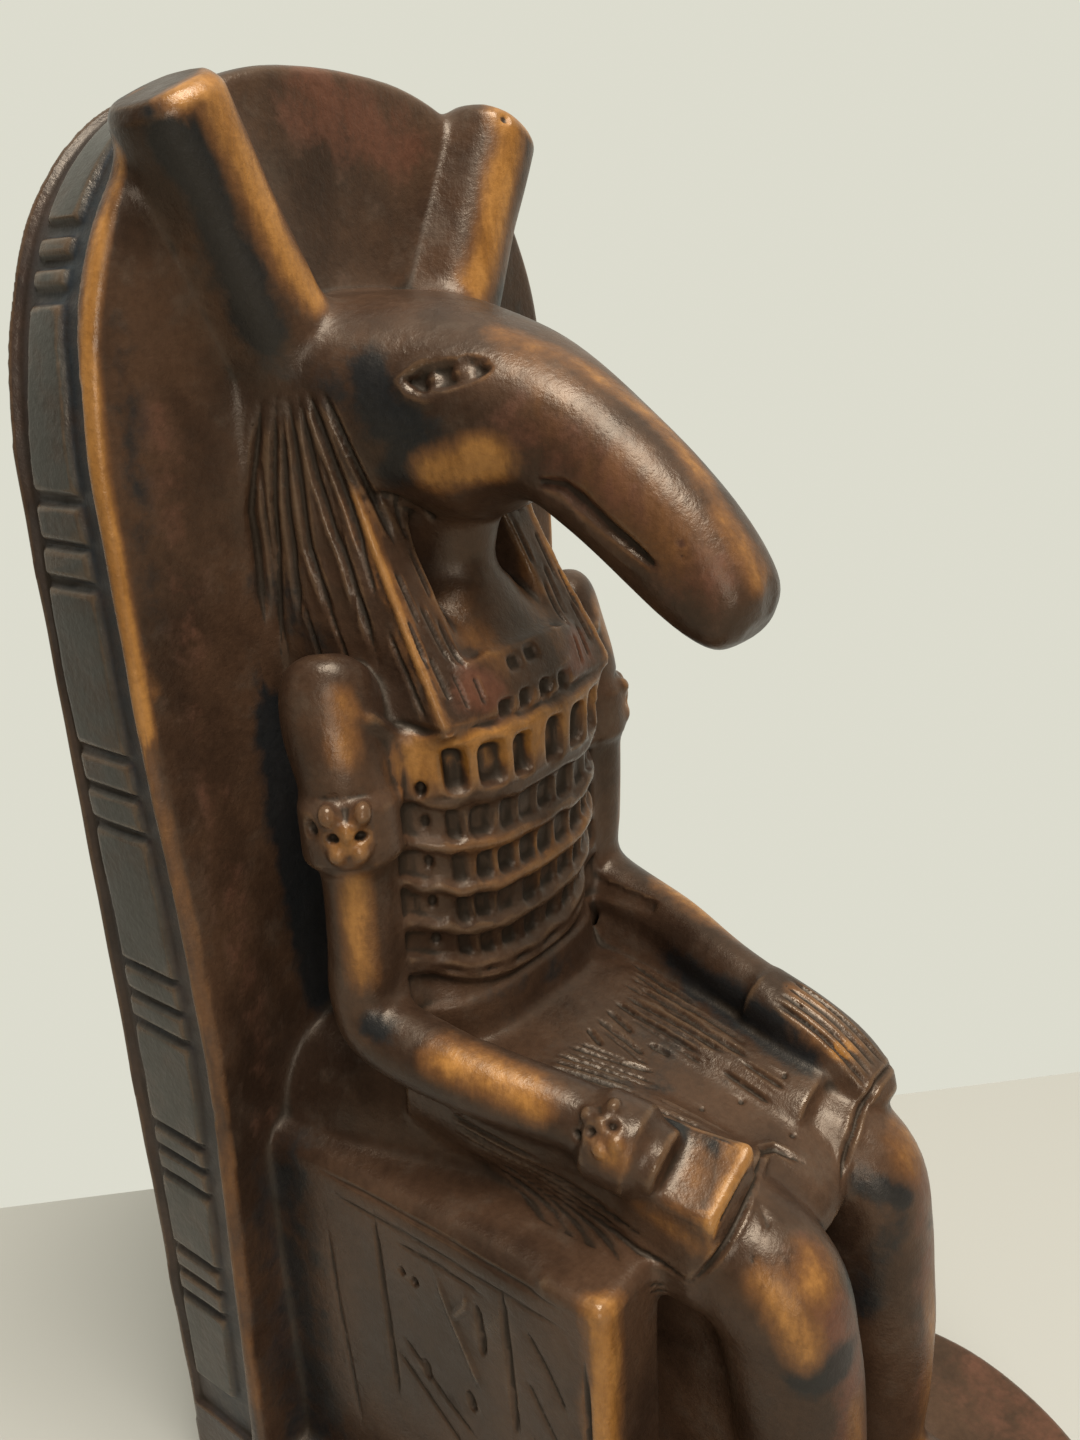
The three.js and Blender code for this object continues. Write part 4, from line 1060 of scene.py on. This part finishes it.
def softMarks(spots, marks):
    total = np.zeros(len(spots))
    for line, reach, strength, where in marks.values():
        for side in where:
            points = np.array(mirrored(line, side))
            if len(points) == 1:
                gap = np.linalg.norm(spots - points[0], axis=1)
            else:
                gap, _ = gapToLine(spots, points)
            total = np.maximum(total, strength * np.exp(-(gap / reach) ** 2))
    return total


def keep(mesh, name, values):
    attribute = mesh.attributes.new(name, "FLOAT", "POINT")
    attribute.data.foreach_set("value", np.asarray(values, np.float32))


# How hollow or proud each place is, from the gap between the skin and a smoothed copy of it
def markRelief(mesh):
    spots, ways = readSkin(mesh)
    pairs = meshEdges(mesh)
    count = neighbourCount(pairs, len(spots))
    calm, relief = spots, []
    for rounds in (6, 30):
        for _ in range(rounds):
            calm = calm + pull(calm, pairs, count) * 0.7
        relief.append(np.einsum("ij,ij->i", calm - spots, ways))
    keep(mesh, "crease", ramp(relief[0], 0.02, 0.16) * 0.6 + ramp(relief[1], 0.05, 0.5) * 0.4)
    keep(mesh, "edge", ramp(-relief[0], 0.02, 0.12) * 0.6 + ramp(-relief[1], 0.06, 0.4) * 0.4)


def markTones(mesh):
    spots, ways = readSkin(mesh)
    keep(mesh, "gildingAndLight", softMarks(spots, gildingAndLight))
    keep(mesh, "black", softMarks(spots, darkWashAndShade))
    keep(mesh, "red", softMarks(spots, reddening))
    block, squarely = blockShare(spots, ways)
    keep(mesh, "slate", block * ramp(squarely, 0.3, 0.7))
    keep(mesh, "blue", softMarks(spots, slating) * (1 - block) * ramp(squarely, 0.3, 0.7))


# Fewer faces where the surface is calm
def thinned(mesh, faces):
    mesh.calc_loop_triangles()
    holder = bpy.data.objects.new("casting", mesh)
    bpy.context.collection.objects.link(holder)
    tool = holder.modifiers.new("fewer faces", "DECIMATE")
    tool.ratio = min(1, faces / len(mesh.loop_triangles))
    graph = bpy.context.evaluated_depsgraph_get()
    made = bpy.data.meshes.new_from_object(holder.evaluated_get(graph))
    bpy.data.objects.remove(holder)
    return made


def told(words, mesh):
    print(words, len(mesh.vertices))


softCorners = dict(  # box in which the inner corners are filled, and for how many rounds
    ears=((-60, 30, 184), (60, 75, 255), 160),
    wig=((-46, 20, 150), (46, 70, 200), 64),
    body=((-45, -50, 10), (45, 66, 158), 24),
)
handWork = [(14, 4, 0.1), (34, 5, 0.16)]  # length, seed and height of the unevenness
mostFaces = 196000

coarse, fine = ((0.5, 0.42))
mesh = joinedForms(coarse)
told("forms joined", mesh)
relax(mesh, 3)
for low, high, rounds in softCorners.values():
    fillCorners(mesh, low, high, rounds)
told("corners filled", mesh)
cast = startCarving(mesh)
cast["rise"] += sum(uneven(cast["spots"], length, seed) * height for length, seed, height in handWork)
carveBand(cast)
carveNet(cast)
finishCarving(cast)
cast = carveFace(startCarving(mesh))
carveMasks(cast)
finishCarving(cast)
told("larger carving", mesh)
mesh = evenSkin(mesh, fine)
relax(mesh, 1)
cast = startCarving(mesh)
carveWig(cast)
carveKilt(cast)
carveThrone(cast)
carveToes(cast)
carveFingers(cast)
finishCarving(cast)
relax(mesh, 1, 0.3)
told("finer carving", mesh)
markRelief(mesh)
mesh = thinned(mesh, mostFaces)
told("thinned", mesh)
spots, _ = readSkin(mesh)
writeSkin(mesh, np.clip(spots, lowCorner, highCorner))
markTones(mesh)
told("tones marked", mesh)


# Material

tones = dict(
    dark=(0.028, 0.015, 0.009), brown=(0.064, 0.033, 0.018), grey=(0.072, 0.050, 0.034),
    red=(0.105, 0.040, 0.022), black=(0.009, 0.011, 0.012), slate=(0.050, 0.050, 0.043),
    blue=(0.014, 0.020, 0.025), amber=(0.120, 0.052, 0.019), gold=(0.235, 0.098, 0.020),
    # The last tone here is the colour of the painted shade in creases and hollows
    paleGold=(0.335, 0.152, 0.038), wornEdge=(0.150, 0.088, 0.046), creaseShade=(0.011, 0.007, 0.004),
)
finish = dict(gloss=0.35, tint=(1, 0.84, 0.66), bump=0.35, bumpDepth=0.00025)


def makeStone():
    material = bpy.data.materials.new("dark cast stone")
    material.use_nodes = True
    nodes, links = material.node_tree.nodes, material.node_tree.links
    shader = nodes["Principled BSDF"]
    place = nodes.new("ShaderNodeTexCoord").outputs["Object"]

    def reading(name):
        item = nodes.new("ShaderNodeAttribute")
        item.attribute_name = name
        return item.outputs["Fac"]

    def give(socket, value):
        if isinstance(value, (int, float)):
            socket.default_value = value
        elif isinstance(value, tuple):
            socket.default_value = (*value, 1)
        else:
            links.new(value, socket)

    def noise(scale, detail=3.0, roughness=0.55, stretch=(1, 1, 1)):
        mapping = nodes.new("ShaderNodeMapping")
        mapping.inputs["Scale"].default_value = stretch
        links.new(place, mapping.inputs["Vector"])
        item = nodes.new("ShaderNodeTexNoise")
        links.new(mapping.outputs["Vector"], item.inputs["Vector"])
        for key, value in (("Scale", scale), ("Detail", detail), ("Roughness", roughness)):
            item.inputs[key].default_value = value
        return item.outputs["Fac"]

    def maths(operation, one, other):
        item = nodes.new("ShaderNodeMath")
        item.operation = operation
        give(item.inputs[0], one)
        give(item.inputs[1], other)
        return item.outputs[0]

    def spread(value, low, high, start=0.0, end=1.0):
        item = nodes.new("ShaderNodeMapRange")
        item.interpolation_type = "SMOOTHSTEP"
        give(item.inputs["Value"], value)
        for key, number in (("From Min", low), ("From Max", high), ("To Min", start), ("To Max", end)):
            item.inputs[key].default_value = number
        return item.outputs["Result"]

    def mixed(share, one, other, blend="MIX"):
        item = nodes.new("ShaderNodeMix")
        item.data_type = "RGBA"
        item.blend_type = blend
        give(item.inputs[0], share)
        give(item.inputs[6], one)
        give(item.inputs[7], other)
        return item.outputs[2]

    crease, edge = reading("crease"), reading("edge")
    broad, cloudy, fine = noise(38, 4, 0.6), noise(150, 5, 0.65), noise(900, 3, 0.6)
    streaks = noise(210, 4, 0.65, (1, 1, 0.3))
    ground = mixed(spread(broad, 0.35, 0.65), tones["dark"], tones["brown"])
    ground = mixed(spread(cloudy, 0.5, 0.72, 0, 0.45), ground, tones["grey"])
    redness = maths("ADD", reading("red"), maths("MULTIPLY", maths("SUBTRACT", cloudy, 0.5), 1.6))
    ground = mixed(spread(redness, 0.3, 0.9, 0, 0.85), ground, tones["red"])
    # Dark marks: the blue-black wash and painted shade, broken up by cloudy noise
    blackness = maths("ADD", reading("black"), maths("MULTIPLY", maths("SUBTRACT", cloudy, 0.5), 1.2))
    ground = mixed(spread(blackness, 0.25, 0.7, 0, 0.92), ground, tones["black"])
    for name, least, most in (("blue", 0.6, 1), ("slate", 0.5, 0.95)):
        share = maths("MULTIPLY", reading(name), spread(cloudy, 0.3, 0.6, least, most))
        ground = mixed(share, ground, tones[name])
    ragged = maths("MULTIPLY", maths("SUBTRACT", streaks, 0.5), 1.5)
    # This share holds the gilt wear and also the painted light on the neck and chest
    wearAndLight = maths("ADD", reading("gildingAndLight"), maths("MULTIPLY", edge, 0.22))
    wearAndLight = maths("SUBTRACT", wearAndLight, maths("MULTIPLY", crease, 0.9))
    giltAndLight = maths("ADD", wearAndLight, maths("MULTIPLY", ragged, spread(wearAndLight, 0.05, 0.5, 0, 0.6)))
    gold = mixed(spread(streaks, 0.35, 0.65), tones["gold"], tones["paleGold"])
    colour = mixed(spread(giltAndLight, 0.2, 0.55, 0, 0.9), ground, tones["amber"])
    colour = mixed(spread(giltAndLight, 0.45, 1.0), colour, gold)
    colour = mixed(spread(edge, 0.35, 1.0, 0, 0.35), colour, tones["wornEdge"])
    # Painted shade: creases and hollows darkened
    colour = mixed(spread(crease, 0.1, 0.8, 0, 0.85), colour, tones["creaseShade"])
    colour = mixed(spread(fine, 0.3, 0.75, 0.0, 0.35), colour, (0.4, 0.36, 0.34), "MULTIPLY")
    links.new(colour, shader.inputs["Base Color"])

    rough = maths("ADD", spread(cloudy, 0.3, 0.7, 0.29, 0.44), spread(crease, 0.1, 0.8, 0.0, 0.25))
    rough = maths("SUBTRACT", rough, spread(edge, 0.3, 0.9, 0, 0.1))
    links.new(rough, shader.inputs["Roughness"])
    shader.inputs["Specular IOR Level"].default_value = finish["gloss"]
    shader.inputs["Specular Tint"].default_value = (*finish["tint"], 1)

    grain = noise(2600, 2, 0.6)
    height = maths("ADD", fine, maths("MULTIPLY", grain, 0.35))
    height = maths("ADD", height, maths("MULTIPLY", cloudy, 2.2))
    bump = nodes.new("ShaderNodeBump")
    bump.inputs["Strength"].default_value = finish["bump"]
    bump.inputs["Distance"].default_value = finish["bumpDepth"]
    links.new(height, bump.inputs["Height"])
    links.new(bump.outputs["Normal"], shader.inputs["Normal"])
    return material


mesh.transform(Matrix.Scale(toMetres, 4))
mesh.shade_smooth()
statue = bpy.data.objects.new("seth_statue_cast", mesh)
bpy.context.collection.objects.link(statue)
statue.data.materials.append(makeStone())
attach(statue, "root")
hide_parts("seth_statue")


# Stage, lights and camera

stage = dict(wallLine=0.151, reach=1.6, tone=(0.41, 0.398, 0.355))
lamps = dict(
    ceiling=dict(
        place=(-0.1, -0.25, 1.0), target=(0, 0, 0.12), size=(0.5, 0.35), strength=14, tone=(1, 0.97, 0.92),
    ),
    window=dict(
        place=(-0.7, -0.75, 0.45), target=(0, 0, 0.15), size=(0.35, 0.5), strength=4, tone=(1, 0.99, 0.97),
    ),
)
room = dict(brightSide=(0.75, 0.62, 0.22), dim=0.12, tone=(0.72, 0.715, 0.62))
view = dict(place=(-0.14123, -0.08648, 0.21752), yaw=51.6, pitch=19.7, roll=2.8, lens=30.0)


def plain(name, tone, roughness):
    material = bpy.data.materials.new(name)
    material.use_nodes = True
    shader = material.node_tree.nodes["Principled BSDF"]
    shader.inputs["Base Color"].default_value = (*tone, 1)
    shader.inputs["Roughness"].default_value = roughness
    return material


def makeFloor():
    bm = bmesh.new()
    bmesh.ops.create_grid(bm, x_segments=1, y_segments=1, size=stage["reach"])
    bmesh.ops.bisect_plane(
        bm, geom=bm.verts[:] + bm.edges[:] + bm.faces[:], plane_co=(stage["wallLine"], 0, 0),
        plane_no=(1, 1, 0), clear_outer=True,
    )
    floorMesh = bpy.data.meshes.new("floor")
    bm.to_mesh(floorMesh)
    bm.free()
    floor = bpy.data.objects.new("floor", floorMesh)
    floor.data.materials.append(plain("pale paper", stage["tone"], 0.6))
    bpy.context.collection.objects.link(floor)


def makeLamp(name, place, target, size, strength, tone):
    lamp = bpy.data.lights.new(name, "AREA")
    lamp.shape = "RECTANGLE"
    lamp.size, lamp.size_y = size
    lamp.energy = strength
    lamp.color = tone
    thing = bpy.data.objects.new(name, lamp)
    thing.location = place
    thing.rotation_mode = "QUATERNION"
    thing.rotation_quaternion = (Vector(target) - Vector(place)).to_track_quat("-Z", "Y")
    bpy.context.collection.objects.link(thing)


def makeCamera():
    yaw, pitch, roll = (math.radians(view[key]) for key in ("yaw", "pitch", "roll"))
    forward = Vector((math.sin(yaw) * math.cos(pitch), math.cos(yaw) * math.cos(pitch), -math.sin(pitch)))
    right = Vector((math.cos(yaw), -math.sin(yaw), 0))
    down = forward.cross(right)
    rightTurned = right * math.cos(roll) + down * math.sin(roll)
    downTurned = down * math.cos(roll) - right * math.sin(roll)
    lens = bpy.data.cameras.new("camera")
    lens.lens = view["lens"]
    lens.sensor_width = 36
    lens.clip_start, lens.clip_end = 0.01, 10
    camera = bpy.data.objects.new("camera", lens)
    turn = Matrix((rightTurned, -downTurned, -forward)).transposed()
    camera.matrix_world = Matrix.Translation(view["place"]) @ turn.to_4x4()
    bpy.context.collection.objects.link(camera)
    bpy.context.scene.camera = camera


# A pale room, bright on the far side and dimmer behind the camera
def makeWorld():
    world = bpy.data.worlds.new("pale room")
    bpy.context.scene.world = world
    world.use_nodes = True
    nodes, links = world.node_tree.nodes, world.node_tree.links
    air = nodes["Background"]
    way = nodes.new("ShaderNodeTexCoord")
    facing = nodes.new("ShaderNodeVectorMath")
    facing.operation = "DOT_PRODUCT"
    facing.inputs[1].default_value = room["brightSide"]
    shade = nodes.new("ShaderNodeMapRange")
    shade.interpolation_type = "SMOOTHSTEP"
    for key, value in (("From Min", -0.3), ("From Max", 0.5), ("To Min", room["dim"]), ("To Max", 1.0)):
        shade.inputs[key].default_value = value
    links.new(way.outputs["Generated"], facing.inputs[0])
    links.new(facing.outputs["Value"], shade.inputs["Value"])
    links.new(shade.outputs["Result"], air.inputs["Strength"])
    air.inputs["Color"].default_value = (*room["tone"], 1)


makeFloor()
for name, lamp in lamps.items():
    makeLamp(name, **lamp)
makeCamera()
makeWorld()
bpy.context.scene.view_settings.view_transform = "Standard"
print("stage, lights and camera set")
